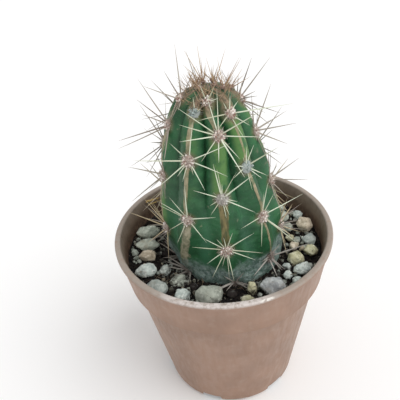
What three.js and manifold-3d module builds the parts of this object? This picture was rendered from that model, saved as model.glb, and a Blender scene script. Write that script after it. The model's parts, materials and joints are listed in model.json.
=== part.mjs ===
// A young potted hedgehog cactus: one ribbed, spiny stem in a round nursery pot of soil and pale gravel.
// Millimetres, +Z up. The origin is the middle of the pot's flat underside, and the front looks along -Y.
// An azimuth is in degrees from the front, turning to the right.
import * as THREE from 'three';
import { ConvexGeometry } from 'three/addons/geometries/ConvexGeometry.js';
import { mergeVertices } from 'three/addons/utils/BufferGeometryUtils.js';
import Module from 'manifold-3d';

const wasm = await Module();
wasm.setup();

// Pot
const POT_HEIGHT = 48;
const RIM_RADIUS = 27.5;
const LIP_HEIGHT = 1.8;
const LIP_OVERHANG = 0.6;
const LIP_ROUND = 0.45;
const COLLAR_HEIGHT = 11.3;
const COLLAR_FOOT_RADIUS = 25.45;
const STEP_HEIGHT = 0.9;
const BODY_TOP_RADIUS = 24.05;
const BASE_RADIUS = 18.2;
const BASE_ROUND = 1.6;
const BASE_BEVEL = 0.3;
const WALL = 1.1;
const FLOOR = 1.5;
const ROUND_SEGMENTS = 60;
const DRAIN_SLOTS = 6;
const DRAIN_LENGTH = 6;
const DRAIN_WIDTH = 3.4;
const DRAIN_HEIGHT = 2.2;
const DRAIN_CIRCLE = 17;
const DRAIN_AZIMUTH = 40;
const DRAIN_STEPS = 4;

// Edges up to this length, left where spines cross, are closed up
const SLIVER = 0.003;

// Gap that keeps two pieces apart where one lies in the other
const CLEARANCE = 0.3;

// Lengths closer than this count as the same
const SAME = 0.01;

// Soil
const SOIL_LEVEL = 40;
const SOIL_RINGS = [22.4, 18.8, 15.4];
const SOIL_SEGMENTS = 36;

// How far the soil is heaped up at both sides, and over which distances from the pot's middle
const SOIL_HEAP = 2.2;
const HEAPED_FROM = [15.4, 20.5];

// Swell of the soil's surface, and a weaker one across it: turns for each millimetre along x and y
const SOIL_RELIEF = 0.45;
const SWELL = { x: 1.9, y: 1.7, startX: 0.6, startY: -0.4 };
const CROSS_SWELL = { x: 2.9, y: -2.3, share: 0.6 };

// Height of the hole for the stem above the soil, and the share of it where its mouth is measured
const HOLE_ABOVE = 4;
const MOUTH_SHARE = 0.6;

// Stem: a short column standing at STEM_FOOT. Its axis leans to the left, bends back and shifts at the tip
const STEM_FOOT = { x: 1.3, y: 0 };
const STEM_LEAN = -5;
const STEM_RETURN = 1.9;
const TIP_SHIFT = 1.2;
const STEM_HEIGHT = 46;
const STEM_RADIUS = 15.5;
const STEM_TAPER = 1.75;
const STEM_BLUNTNESS = 0.36;

// How much narrower the stem is at the soil, and over what share of its height
const WAIST = 0.13;
const WAIST_SHARE = 0.25;
const RIB_COUNT = 10;
const RIB_STEPS = 4;
const STEM_ROWS = 20;
const NOTCH_DEPTH = 1;
const NOTCH_REACH = 2.3;

// Furrows between the ribs: depth as a share of the radius, at the foot and added towards the tip
const FURROW_AT_FOOT = 0.1;
const FURROW_ADDED = 0.13;
const FURROW_POWER = 1.9;

// Shares of the stem's height over which the furrows begin, and over which they sharpen
const FURROW_BEGINS = [-0.02, 0.11];
const FURROW_SHARPENS = [0.04, 0.78];

// Buried neck under the stem, as height from the soil and radius
const NECK = [[-1.2, 12.6], [-5, 10.6], [-11, 5.2], [-15, 3]];

// Areoles and spines
const PAD_RADIUS = 1.6;
const PAD_TOP_RADIUS = 0.85;
const PAD_HEIGHT = 0.7;
const PAD_ROOT = 1;
const PAD_SIDES = 6;
const SPINE_SIDES = 3;
const SPINE_RADIUS = 0.2;
const SPINE_ROOT = 1.1;
const SPINE_SPREAD = 1.2;
const THICK_SPREAD = 0.3;
const THICK_RISE = 28;
const THICKER = 1.25;
const STONE_CLEAR = 4.4;
const HEAP_CLEAR = 1.4;
const STEEPEST = 0.9;
const WALL_CLEAR = 23.6;
const ABOVE_RIM = POT_HEIGHT + 2;
const OUTWARD_PULL = 0.6;
const TOP_PAD_SHRINK = 0.3;
const SHRINKS_ABOVE = 0.78;

// New growth at the tip, with a few short spines besides the measured ones in each of its areoles
const CROWN_SIZE = 2.1;
const SHORT_SPINES = 3;
const SHORT_SPINE = { usual: [0, 2.8, 55], spread: [180, 1, 20] };
const CROWN_SEED = 901;

// Repeatable draws for what nature scatters
class Draws {
  constructor(seed) {
    this.state = seed;
    for (let i = 0; i < 4; i += 1) this.next();
  }

  next() {
    this.state = (this.state * 1664525 + 1013904223) % 4294967296;
    return this.state / 4294967296;
  }

  spread(size) {
    return (2 * this.next() - 1) * size;
  }
}

// Areoles of the ribs that face the front: height on the stem, azimuth, and its spines as
// [clock bearing on the skin, length, rise off the skin]
const FRONT_RIB = [
  { height: 0.2, azimuth: 4, spines: [
    [300, 6, 20], [245, 6, 20], [205, 6, 20], [165, 6, 20], [100, 5, 45], [70, 7, 15], [20, 7, 15],
    [340, 6, 15]] },
  { height: 12, azimuth: 2, spines: [
    [297, 7.7, 15], [319, 6.7, 15], [339, 4.3, 20], [359, 4.6, 25], [20, 5.1, 15], [52, 7.7, 15],
    [96, 7.6, 15], [114, 6.3, 15], [173, 6.9, 32], [222, 6.4, 25], [249, 4.6, 15], [201, 3.5, 12],
    [183, 6.3, 18]] },
  { height: 25.2, azimuth: 6, spines: [
    [304, 6.5, 15], [354, 9, 15], [0, 7.2, 15], [5, 3.6, 20], [29, 6.6, 15], [42, 11.2, 35],
    [105, 2.6, 20], [120, 7, 15], [227, 3.5, 15], [255, 2.2, 15], [176, 3.6, 20], [165, 3.1, 15]] },
  { height: 38.6, azimuth: 13, spines: [
    [313, 11.3, 25], [295, 9, 22], [274, 8, 15], [228, 5.8, 15], [193, 4.8, 15], [163, 10.6, 38],
    [149, 5.7, 15], [102, 8.2, 20], [65, 10.6, 32], [4, 9.2, 20], [350, 7.9, 15]] },
  { height: 44.6, azimuth: -5, spines: [
    [330, 4, 45], [40, 4, 50], [90, 3, 40]] },
];
const RIGHT_RIB = [
  { height: 4.9, azimuth: 48, spines: [
    [68, 10, 41], [50, 3.3, 12], [345, 4, 20], [180, 4.7, 65], [199, 4.4, 56], [224, 5.5, 27],
    [278, 7.5, 10], [305, 5, 15]] },
  { height: 17.5, azimuth: 46, spines: [
    [4, 9.3, 18], [3, 6.1, 15], [44, 5.3, 14], [88, 10.8, 20], [155, 11.4, 32], [147, 9.5, 12],
    [212, 6.2, 12], [287, 8.2, 10]] },
  { height: 30.7, azimuth: 40, spines: [
    [344, 6.8, 34], [23, 4.5, 25], [343, 2.4, 20], [72, 7.7, 32], [134, 5.2, 12], [147, 4.2, 12],
    [188, 4.6, 12], [268, 4.1, 12], [299, 5, 25]] },
  { height: 42, azimuth: 38, spines: [
    [105, 12.8, 43], [140, 4.2, 15], [176, 5.6, 12], [276, 9.9, 18], [246, 4.5, 12], [333, 2.2, 20],
    [358, 3.9, 35], [53, 2.4, 20]] },
];
const FAR_RIGHT_RIB = [
  { height: 8.9, azimuth: 82, spines: [
    [10, 7, 20], [38, 5.8, 36], [95, 8, 22], [140, 8, 20], [180, 7, 15], [225, 7, 12], [270, 7, 12],
    [320, 7, 15]] },
  { height: 22.6, azimuth: 81, spines: [
    [42, 8.2, 64], [37, 3.5, 38], [32, 5.7, 13], [175, 8.7, 79], [210, 6.1, 35], [169, 4.6, 12],
    [0, 8, 12], [225, 7, 12], [270, 7, 12], [320, 7, 12]] },
  { height: 35.2, azimuth: 83, spines: [
    [158, 9.1, 80], [52, 8.2, 75], [197, 7.6, 52], [27, 10.4, 37], [24, 7.1, 13], [215, 7.5, 10],
    [268, 4, 10], [225, 4.5, 12], [330, 6, 15], [105, 8, 20]] },
  { height: 42.4, azimuth: 93, spines: [
    [34, 10.5, 69], [120, 5, 40], [62, 4, 30], [205, 4.5, 20], [280, 4, 30], [150, 5, 25]] },
];
const FAR_LEFT_RIB = [
  { height: 0.8, azimuth: -80, spines: [
    [0, 7, 20], [50, 6, 15], [100, 6, 15], [150, 5, 20], [210, 5, 20], [260, 6, 15], [310, 7, 15]] },
  { height: 11.3, azimuth: -78, spines: [
    [326, 10, 56], [318, 8.6, 28], [325, 7.4, 24], [333, 6.8, 20], [328, 6.3, 34], [144, 6, 65],
    [140, 7.1, 12], [128, 5, 12], [100, 5, 12]] },
  { height: 27.2, azimuth: -71, spines: [
    [305, 8.2, 67], [166, 9.4, 59], [164, 4.8, 10], [142, 4.8, 8], [110, 3.5, 12], [335, 6, 15],
    [30, 6, 15], [215, 7, 20]] },
  { height: 38.8, azimuth: -76, spines: [
    [327, 11.5, 46], [312, 8.6, 60], [279, 6.1, 70], [183, 11.3, 60], [174, 11.9, 51], [118, 8.7, 12],
    [131, 7.5, 8], [125, 8.5, 8], [139, 5.5, 8], [4, 3.1, 15], [60, 4, 20]] },
  { height: 43.8, azimuth: -84, spines: [
    [332, 11.1, 42], [303, 6.7, 64], [205, 8.5, 65], [343, 6.7, 15], [95, 5, 12], [138, 3.7, 12],
    [115, 6, 10], [60, 4, 25]] },
];
const LEFT_RIB = [
  { height: 0.8, azimuth: -52, spines: [
    [284, 6, 15], [345, 7, 15], [30, 6, 15], [85, 6, 10], [130, 6, 20], [175, 6, 25], [222, 6, 30],
    [250, 5, 20]] },
  { height: 19.4, azimuth: -33, spines: [
    [336, 6.3, 18], [312, 7, 22], [296, 6.6, 15], [10, 9.8, 15], [65, 9.7, 15], [20, 3, 30],
    [121, 6.2, 15], [201, 6.1, 15], [233, 5.2, 15]] },
  { height: 33.6, azimuth: -27, spines: [
    [271, 11.3, 35], [312, 4.6, 15], [15, 9.1, 18], [63, 12.6, 18], [93, 10.2, 15], [135, 6.5, 15],
    [145, 2.5, 20], [192, 3.9, 15], [222, 8.1, 30], [213, 3.7, 12]] },
  { height: 42.9, azimuth: -25, spines: [
    [350, 3, 30], [60, 2, 30]] },
];

// Areoles on the flat tip: azimuth, distance from its middle, drop, and spines with bearings from the back
const CROWN = [
  { azimuth: 214, distance: 2.3, drop: 0, spines: [
    [339, 7.7, 78], [292, 7.6, 62], [44, 3.9, 72], [281, 5.2, 44], [356, 5.1, 78], [281, 3.2, 42],
    [200, 5, 60], [150, 4, 60]] },
  { azimuth: 76, distance: 1.1, drop: 0, spines: [
    [316, 5.8, 73], [64, 7.7, 65], [0, 3, 77], [200, 4, 65]] },
  { azimuth: 75, distance: 3.2, drop: 0.5, spines: [
    [320, 6.2, 74], [70, 6.7, 59], [85, 7, 57], [100, 3, 54], [150, 3.5, 40]] },
  { azimuth: 94, distance: 4.6, drop: 1, spines: [
    [81, 3.9, 38], [86, 4, 26], [60, 4.5, 50], [130, 3, 30]] },
  { azimuth: 232, distance: 3.8, drop: 0.5, spines: [
    [286, 2.9, 52], [240, 3, 50], [310, 4, 60], [200, 4.5, 50]] },
  { azimuth: 302, distance: 2.3, drop: 0, spines: [
    [130, 5, -12]] },
  { azimuth: 165, distance: 3.2, drop: 0.3, spines: [
    [294, 1.5, 60], [25, 3.3, 76], [79, 2.9, 40], [180, 5, 55], [140, 4.5, 60]] },
];

// The ribs behind have an even fan of spines in each areole, and two stouter ones in its middle.
// Each kind is [bearing, length, rise] with how much each of them varies
const FAN_COUNT = 8;
const FAN_TURN = 20;
const FAN_SPINE = { usual: [0, 7.8, 15], spread: [12, 1.8, 5] };
const MIDDLE_SPINES = [
  { usual: [170, 10.5, 36], spread: [50, 1.5, 8] },
  { usual: [350, 9.5, 48], spread: [50, 1.5, 8] },
];

const RIB_SEEDS = 10;

function varied({ usual, spread }, draws) {
  return usual.map((value, i) => value + draws.spread(spread[i]));
}

function fannedAreole(height, azimuth, seed) {
  const draws = new Draws(seed);
  const turn = draws.spread(FAN_TURN);
  const spines = [];
  for (let i = 0; i < FAN_COUNT; i += 1) {
    const [bearing, length, rise] = varied(FAN_SPINE, draws);
    spines.push([bearing + turn + (360 * i) / FAN_COUNT, length, rise]);
  }
  for (const kind of MIDDLE_SPINES) spines.push(varied(kind, draws));
  return { height, azimuth, spines };
}

const AREOLE_PITCH = 12.8;
const TOP_AREOLE = 44.5;
const TOP_TURN = 8;

function fannedRib(azimuth, firstHeight) {
  const areoles = [];
  for (let height = firstHeight; height < TOP_AREOLE; height += AREOLE_PITCH) {
    const turn = TOP_TURN * (height / STEM_HEIGHT) ** 3;
    areoles.push(fannedAreole(height, azimuth + turn, azimuth * RIB_SEEDS + areoles.length));
  }
  return areoles;
}

// All ribs in order round the stem
const RIBS = [
  FRONT_RIB,
  RIGHT_RIB,
  FAR_RIGHT_RIB,
  fannedRib(114, 2.6),
  fannedRib(149, 8.4),
  fannedRib(184, 1.4),
  fannedRib(219, 12.2),
  fannedRib(253, 6.2),
  FAR_LEFT_RIB,
  LEFT_RIB,
];

// Stem surface

function crestRadius(height) {
  const share = Math.min(Math.max(height / STEM_HEIGHT, 0), 1);
  const dome = (1 - share ** STEM_TAPER) ** STEM_BLUNTNESS;
  const waist = 1 - WAIST * Math.max(1 - share / WAIST_SHARE, 0) ** 2;
  return STEM_RADIUS * dome * waist;
}

function stemCentre(height) {
  const share = Math.max(height / STEM_HEIGHT, 0);
  const lean = STEM_LEAN * share + STEM_RETURN * share ** 2 + TIP_SHIFT * share ** 10;
  return new THREE.Vector3(STEM_FOOT.x + lean, STEM_FOOT.y, SOIL_LEVEL + height);
}

// Azimuth of a rib's crest, which runs through its areoles
function crestAzimuth(rib, height) {
  const lap = Math.floor(rib / RIB_COUNT);
  const place = rib - lap * RIB_COUNT;
  const areoles = RIBS[place];
  const last = areoles.length - 1;
  let degrees = height <= areoles[0].height ? areoles[0].azimuth : areoles[last].azimuth;
  for (let i = 0; i < last; i += 1) {
    const below = areoles[i];
    const above = areoles[i + 1];
    if (height > below.height && height <= above.height) {
      const share = (height - below.height) / (above.height - below.height);
      const smooth = share * share * (3 - 2 * share);
      degrees = below.azimuth + (above.azimuth - below.azimuth) * smooth;
    }
  }
  const pastBehind = degrees < 0 && place > RIB_COUNT / 2;
  return degrees + 360 * (pastBehind ? lap + 1 : lap);
}

// Shallow soft furrows at the foot and deep narrow ones at the top
function furrow(fromCrest, height) {
  const share = THREE.MathUtils.smoothstep(height / STEM_HEIGHT, ...FURROW_SHARPENS);
  const begun = THREE.MathUtils.smoothstep(height / STEM_HEIGHT, ...FURROW_BEGINS);
  const depth = begun * (FURROW_AT_FOOT + FURROW_ADDED * share);
  const soft = Math.sin((fromCrest * Math.PI) / 2);
  const narrow = fromCrest ** FURROW_POWER;
  return depth * THREE.MathUtils.lerp(soft, narrow, share);
}

// Dip of a rib's crest at its areoles
function notch(rib, height) {
  const areoles = RIBS[((rib % RIB_COUNT) + RIB_COUNT) % RIB_COUNT];
  let dip = 0;
  for (const areole of areoles) dip += Math.exp(-(((height - areole.height) / NOTCH_REACH) ** 2));
  return NOTCH_DEPTH * Math.min(dip, 1) * Math.min(crestRadius(height) / STEM_RADIUS, 1);
}

// Point on the skin, with phase counted in ribs round the stem and whole on a crest
function skin(phase, height) {
  const rib = Math.floor(phase);
  const between = phase - rib;
  const degrees = THREE.MathUtils.lerp(crestAzimuth(rib, height), crestAzimuth(rib + 1, height), between);
  const azimuth = THREE.MathUtils.degToRad(degrees);
  const fromCrest = 1 - Math.abs(2 * between - 1);
  const dip = notch(Math.round(phase), height) * (1 - fromCrest) ** 2;
  const radius = crestRadius(height) * (1 - furrow(fromCrest, height)) - dip;
  const centre = stemCentre(height);
  centre.x += radius * Math.sin(azimuth);
  centre.y -= radius * Math.cos(azimuth);
  return centre;
}

// Heights that cut the stem's outline into rows of even length
function rowHeights(rows) {
  const fine = 400;
  const outline = [];
  let length = 0;
  for (let i = 0; i <= fine; i += 1) {
    const height = STEM_HEIGHT * Math.sin((i / fine) * Math.PI * 0.5);
    const radius = crestRadius(height);
    if (i > 0) length += Math.hypot(height - outline[i - 1].height, radius - outline[i - 1].radius);
    outline.push({ height, radius, length });
  }
  const heights = [];
  for (let row = 0; row <= rows; row += 1) {
    const goal = (length * row) / rows;
    const after = Math.max(outline.findIndex((point) => point.length >= goal), 1);
    const low = outline[after - 1];
    const high = outline[after];
    const share = (goal - low.length) / (high.length - low.length);
    heights.push(THREE.MathUtils.lerp(low.height, high.height, share));
  }
  heights[rows] = STEM_HEIGHT;
  return heights;
}

// Solids

// Turns a closed geometry into a solid that can be cut and joined
function solidOf(geometry) {
  const bare = geometry.index ? geometry.toNonIndexed() : geometry.clone();
  bare.deleteAttribute('normal');
  bare.deleteAttribute('uv');
  const merged = mergeVertices(bare, 1e-4);
  const corners = merged.index.array;
  const kept = [];
  for (let i = 0; i < corners.length; i += 3) {
    const [a, b, c] = [corners[i], corners[i + 1], corners[i + 2]];
    if (a !== b && b !== c && c !== a) kept.push(a, b, c);
  }
  return new wasm.Manifold(new wasm.Mesh({
    numProp: 3,
    vertProperties: merged.attributes.position.array,
    triVerts: Uint32Array.from(kept),
  }));
}

// The three corners of each triangle round every vertex of a mesh
function trianglesRound(triangles) {
  const round = new Map();
  for (const triangle of triangles) {
    for (const corner of triangle) {
      if (!round.has(corner)) round.set(corner, new Set());
      round.get(corner).add(triangle);
    }
  }
  return round;
}

// Draws the ends of each very short edge together, wherever that keeps the skin whole
function closeSlivers(positions, triangles) {
  const round = trianglesRound(triangles);
  const kept = new Set(triangles);
  const point = (corner) => new THREE.Vector3().fromArray(positions, 3 * corner);
  const neighbours = (corner) => new Set([...round.get(corner)].flat());
  for (const triangle of triangles) {
    for (let side = 0; side < 3; side += 1) {
      const a = triangle[side];
      const b = triangle[(side + 1) % 3];
      if (!kept.has(triangle) || point(a).distanceTo(point(b)) > SLIVER) continue;
      const nearB = neighbours(b);
      const shared = [...neighbours(a)].filter((corner) => nearB.has(corner) && corner !== a && corner !== b);
      if (shared.length !== 2) continue;
      for (const other of [...round.get(b)]) {
        if (other.includes(a)) {
          kept.delete(other);
          for (const corner of other) round.get(corner).delete(other);
        } else {
          other[other.indexOf(b)] = a;
          round.get(a).add(other);
        }
      }
      round.get(b).clear();
    }
  }
  return [...kept];
}

function geometryOf(solid) {
  const mesh = solid.getMesh();
  const triangles = [];
  for (let i = 0; i < mesh.triVerts.length; i += 3) triangles.push([...mesh.triVerts.slice(i, i + 3)]);
  const closed = closeSlivers(mesh.vertProperties, triangles);
  const loose = new THREE.BufferGeometry();
  loose.setAttribute('position', new THREE.BufferAttribute(mesh.vertProperties.slice(), 3));
  loose.setIndex(closed.flat());
  const geometry = mergeVertices(loose.toNonIndexed(), 0);
  geometry.computeVertexNormals();
  return geometry;
}

// A turned body from [radius, height] points, listed from the bottom of the outside round to the axis
function turned(points, segments = ROUND_SEGMENTS) {
  const profile = points.map(([radius, height]) => new THREE.Vector2(radius, height));
  return new THREE.LatheGeometry(profile, segments).rotateX(Math.PI / 2);
}

// Pot: a thin moulded shell with a lip, a collar, a step, a tapered body and a slotted floor

const COLLAR_FOOT = POT_HEIGHT - COLLAR_HEIGHT;
const BODY_TOP = COLLAR_FOOT - STEP_HEIGHT;

function innerRadius(height) {
  if (height >= COLLAR_FOOT) {
    const share = (height - COLLAR_FOOT) / COLLAR_HEIGHT;
    return THREE.MathUtils.lerp(COLLAR_FOOT_RADIUS, RIM_RADIUS - LIP_OVERHANG, share) - WALL;
  }
  return THREE.MathUtils.lerp(BASE_RADIUS, BODY_TOP_RADIUS, height / BODY_TOP) - WALL;
}

function potShell() {
  const underLip = RIM_RADIUS - LIP_OVERHANG;
  return turned([
    [0, 0],
    [BASE_RADIUS - BASE_ROUND, 0],
    [BASE_RADIUS - BASE_BEVEL * BASE_ROUND, BASE_BEVEL * BASE_ROUND],
    [BASE_RADIUS, BASE_ROUND],
    [BODY_TOP_RADIUS, BODY_TOP],
    [COLLAR_FOOT_RADIUS, COLLAR_FOOT],
    [underLip, POT_HEIGHT - LIP_HEIGHT],
    [RIM_RADIUS, POT_HEIGHT - LIP_HEIGHT + LIP_ROUND],
    [RIM_RADIUS, POT_HEIGHT - LIP_ROUND],
    [RIM_RADIUS - LIP_ROUND, POT_HEIGHT],
    [innerRadius(POT_HEIGHT) + LIP_ROUND, POT_HEIGHT],
    [innerRadius(POT_HEIGHT - LIP_ROUND), POT_HEIGHT - LIP_ROUND],
    [innerRadius(COLLAR_FOOT), COLLAR_FOOT],
    [innerRadius(BODY_TOP), BODY_TOP],
    [innerRadius(FLOOR), FLOOR],
    [0, FLOOR],
  ]);
}

// One drain slot where the floor meets the wall, its long side along the pot's edge
function drainSlot(index) {
  const half = (DRAIN_LENGTH - DRAIN_WIDTH) / 2;
  const round = DRAIN_WIDTH / 2;
  const outline = new THREE.Shape();
  outline.absarc(0, half, round, 0, Math.PI);
  outline.absarc(0, -half, round, Math.PI, 2 * Math.PI);
  const depth = DRAIN_HEIGHT + FLOOR;
  const slot = new THREE.ExtrudeGeometry(outline, { depth, bevelEnabled: false, curveSegments: DRAIN_STEPS });
  slot.translate(DRAIN_CIRCLE, 0, -FLOOR);
  slot.rotateZ(THREE.MathUtils.degToRad(DRAIN_AZIMUTH - 90 + (360 * index) / DRAIN_SLOTS));
  return solidOf(slot);
}

function makePot() {
  let pot = solidOf(potShell());
  for (let i = 0; i < DRAIN_SLOTS; i += 1) pot = pot.subtract(drainSlot(i));
  return pot;
}

// Stem, its areoles and spines, grown as one body

function ribbedStem() {
  const neck = [...NECK].reverse();
  const rows = rowHeights(STEM_ROWS);
  const profile = [[0, neck[0][0]], ...neck.map(([height, radius]) => [radius, height])];
  for (const height of rows) profile.push([crestRadius(height), height]);
  const body = turned(profile, RIB_COUNT * RIB_STEPS);
  const place = body.attributes.position;
  const point = new THREE.Vector3();
  for (let column = 0; column <= RIB_COUNT * RIB_STEPS; column += 1) {
    for (let row = 0; row < profile.length; row += 1) {
      const [radius, height] = profile[row];
      const phase = (column % (RIB_COUNT * RIB_STEPS)) / RIB_STEPS;
      point.copy(skin(phase, height));
      if (height < 0) {
        const centre = stemCentre(height);
        point.sub(centre).setZ(0).setLength(radius).add(centre);
      }
      place.setXYZ(column * profile.length + row, point.x, point.y, point.z);
    }
  }
  return solidOf(body);
}

// The frame of an areole: its place, and the directions up the rib, to the right and off the skin
function areoleFrame(rib, height) {
  const step = 0.3;
  const aside = 0.25;
  const origin = skin(rib, height);
  const up = skin(rib, Math.min(height + step, STEM_HEIGHT)).sub(skin(rib, height - step)).normalize();
  const right = skin(rib + aside, height).sub(skin(rib - aside, height)).normalize();
  const out = right.clone().cross(up).normalize();
  right.copy(up).cross(out);
  return { origin, up, right, out };
}

// Woolly cushion of an areole, as a low blunt cone with its root in the stem
function pad(frame, size) {
  const depth = PAD_HEIGHT * size + PAD_ROOT;
  const cushion = new THREE.CylinderGeometry(PAD_TOP_RADIUS * size, PAD_RADIUS * size, depth, PAD_SIDES);
  cushion.translate(0, (PAD_HEIGHT * size - PAD_ROOT) / 2, 0);
  const turn = new THREE.Matrix4().makeBasis(frame.right, frame.out, frame.up.clone().negate());
  return solidOf(cushion.applyMatrix4(turn.setPosition(frame.origin)));
}

// A spine's direction, bent clear of the stones below it
function spineDirection(frame, bearing, rise, length) {
  const round = THREE.MathUtils.degToRad(bearing);
  const lift = THREE.MathUtils.degToRad(rise);
  const direction = frame.out.clone().multiplyScalar(Math.sin(lift));
  direction.addScaledVector(frame.up, Math.cos(lift) * Math.cos(round));
  direction.addScaledVector(frame.right, Math.cos(lift) * Math.sin(round));
  const clear = SOIL_LEVEL + STONE_CLEAR + HEAP_CLEAR * frame.out.x ** 2;
  const lowest = Math.min((clear - frame.origin.z) / length, STEEPEST);
  if (direction.z < lowest) {
    const outward = new THREE.Vector3(direction.x, direction.y, 0);
    outward.addScaledVector(new THREE.Vector3(frame.out.x, frame.out.y, 0), OUTWARD_PULL);
    outward.setLength(Math.sqrt(1 - lowest * lowest));
    direction.set(outward.x, outward.y, lowest);
  }
  return direction;
}

// A spine's length, shortened where it would meet the pot's wall
function spineLength(origin, direction, length) {
  const step = 0.2;
  for (let kept = length; kept > step; kept -= step) {
    const tip = origin.clone().addScaledVector(direction, kept);
    if (tip.z > ABOVE_RIM || Math.hypot(tip.x, tip.y) < WALL_CLEAR) return kept;
  }
  return step;
}

function spine(frame, [bearing, length, rise]) {
  const direction = spineDirection(frame, bearing, rise, length);
  const reach = spineLength(frame.origin, direction, length);
  const thick = rise > THICK_RISE;
  const radius = SPINE_RADIUS * (thick ? THICKER : 1);
  const needle = new THREE.ConeGeometry(radius, reach + SPINE_ROOT, SPINE_SIDES);
  needle.translate(0, (reach - SPINE_ROOT) / 2, 0);
  const upright = new THREE.Vector3(0, 1, 0);
  needle.applyQuaternion(new THREE.Quaternion().setFromUnitVectors(upright, direction));
  const sideways = direction.clone().addScaledVector(frame.out, -direction.dot(frame.out));
  const root = frame.origin.clone().addScaledVector(sideways, thick ? THICK_SPREAD : SPINE_SPREAD);
  needle.translate(root.x, root.y, root.z);
  return solidOf(needle);
}

// Woolly new growth on the stem's tip, with upright young spines
function tipGrowth() {
  const crown = {
    origin: stemCentre(STEM_HEIGHT),
    up: new THREE.Vector3(0, 1, 0),
    right: new THREE.Vector3(1, 0, 0),
    out: new THREE.Vector3(0, 0, 1),
  };
  const parts = [pad(crown, CROWN_SIZE)];
  const draws = new Draws(CROWN_SEED);
  for (const { azimuth, distance, drop, spines } of CROWN) {
    const round = THREE.MathUtils.degToRad(azimuth);
    const aside = new THREE.Vector3(distance * Math.sin(round), -distance * Math.cos(round), -drop);
    const frame = { ...crown, origin: aside.add(crown.origin) };
    frame.origin.z += PAD_HEIGHT / 2;
    for (const reading of spines) parts.push(spine(frame, reading));
    for (let i = 0; i < SHORT_SPINES; i += 1) parts.push(spine(frame, varied(SHORT_SPINE, draws)));
  }
  return parts;
}

// The largest shell alone, without the tiny gaps that crossing spines close off inside it
function withoutGaps(solid) {
  return solid.decompose().reduce((kept, shell) => (shell.volume() > kept.volume() ? shell : kept));
}

function makeCactus() {
  const parts = [ribbedStem(), ...tipGrowth()];
  RIBS.forEach((areoles, rib) => {
    for (const areole of areoles) {
      const frame = areoleFrame(rib, areole.height);
      const share = THREE.MathUtils.smoothstep(areole.height / STEM_HEIGHT, SHRINKS_ABOVE, 1);
      parts.push(pad(frame, 1 - TOP_PAD_SHRINK * share));
      for (const reading of areole.spines) parts.push(spine(frame, reading));
    }
  });
  return withoutGaps(wasm.Manifold.union(parts));
}

// Height of the soil, which is heaped towards the wall at both sides
function soilHeight(x, y) {
  const distance = Math.hypot(x, y);
  if (distance < HEAPED_FROM[0]) return SOIL_LEVEL;
  return SOIL_LEVEL + SOIL_HEAP * (x / distance) ** 2 * THREE.MathUtils.smoothstep(distance, ...HEAPED_FROM);
}

// Stones: loose gravel, each an uneven block lying in its own hollow of the soil

// Stones that show from the front, as place, length, width, height, turn and kind
const SEEN_STONES = [
  [-20.3, 6.6, 6.8, 4.4, 3.4, 8, 'grey'],
  [-19.8, 1, 6.6, 3.8, 3.2, -5, 'grey'],
  [-19.4, -3.4, 5.6, 3.4, 3.1, 5, 'buff'],
  [-19.8, -8.6, 5.4, 4.8, 3.6, 20, 'white'],
  [-15.2, -6.8, 3, 3, 2.4, 0, 'white'],
  [-16.4, -14.3, 6, 5, 3.7, -30, 'white'],
  [-10.4, -16.8, 4, 4.6, 3, 15, 'white'],
  [-4.4, -17.2, 7.2, 5.8, 4.8, 5, 'grey'],
  [6.1, -15.7, 2.4, 2.5, 4.4, 10, 'yellow'],
  [4.6, -19.4, 3.8, 3.6, 3, 30, 'yellow'],
  [10.8, -16, 6.2, 6, 4.6, 0, 'violet'],
  [15, -12.6, 2.4, 2.6, 2, 0, 'white'],
  [16.9, -14.8, 2.4, 2.8, 2.2, 40, 'white'],
  [15.2, -9, 2.2, 2.2, 1.8, 0, 'white'],
  [17.6, -7.3, 4.4, 3.6, 3, 20, 'yellow'],
  [21.8, -5.9, 3.6, 3.6, 3, 10, 'yellow'],
  [18.4, -11.2, 4.8, 3.2, 2.8, 20, 'white'],
  [22.2, -1, 3.8, 3.4, 2.6, 0, 'white'],
  [21.9, 4.8, 4.4, 4.8, 3.6, 0, 'buff'],
  [21, 9.7, 2.8, 3, 2.6, 0, 'white'],
  [17.5, 5.6, 3.4, 3, 2.4, 20, 'grey'],
  [17.6, 1.6, 2.6, 2.4, 1.8, 0, 'yellow'],
  [17, 14.2, 2.8, 2.6, 2.4, 0, 'grey'],
];

const STONE_KINDS = ['white', 'grey', 'buff', 'yellow', 'violet'];
const STONE_CORNERS = 14;
const STONE_TRIES = 6000;
const BIGGEST_STONE = 5.8;
const SMALLEST_STONE = 2;
const ROUND_STEM = 14.4;
const WITHIN_WALL = 24.1;
const LAID_SEED = 43;

// Width of a laid stone as a share of its length, and its height as one
const LAID_WIDTH = [0.75, 1];
const LAID_HEIGHT = [0.5, 0.65];

// Most that a stone's corner is turned, and moved in or out as a share
const CORNER_TURN = 0.35;
const CORNER_SHAKE = 0.12;
const CORNER_SEED = 300;

// Share of a stone's height from the soil up to the stone's middle
const STONE_SEAT = 0.22;

function stoneFits(x, y, size, laid) {
  if (Math.hypot(x, y) + size / 2 > WITHIN_WALL) return false;
  if (Math.hypot(x - STEM_FOOT.x, y - STEM_FOOT.y) - size / 2 < ROUND_STEM) return false;
  return laid.every(([otherX, otherY, length, width]) => {
    const reach = size / 2 + (length + width) / 4 + 2 * CLEARANCE;
    return Math.hypot(x - otherX, y - otherY) > reach;
  });
}

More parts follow.
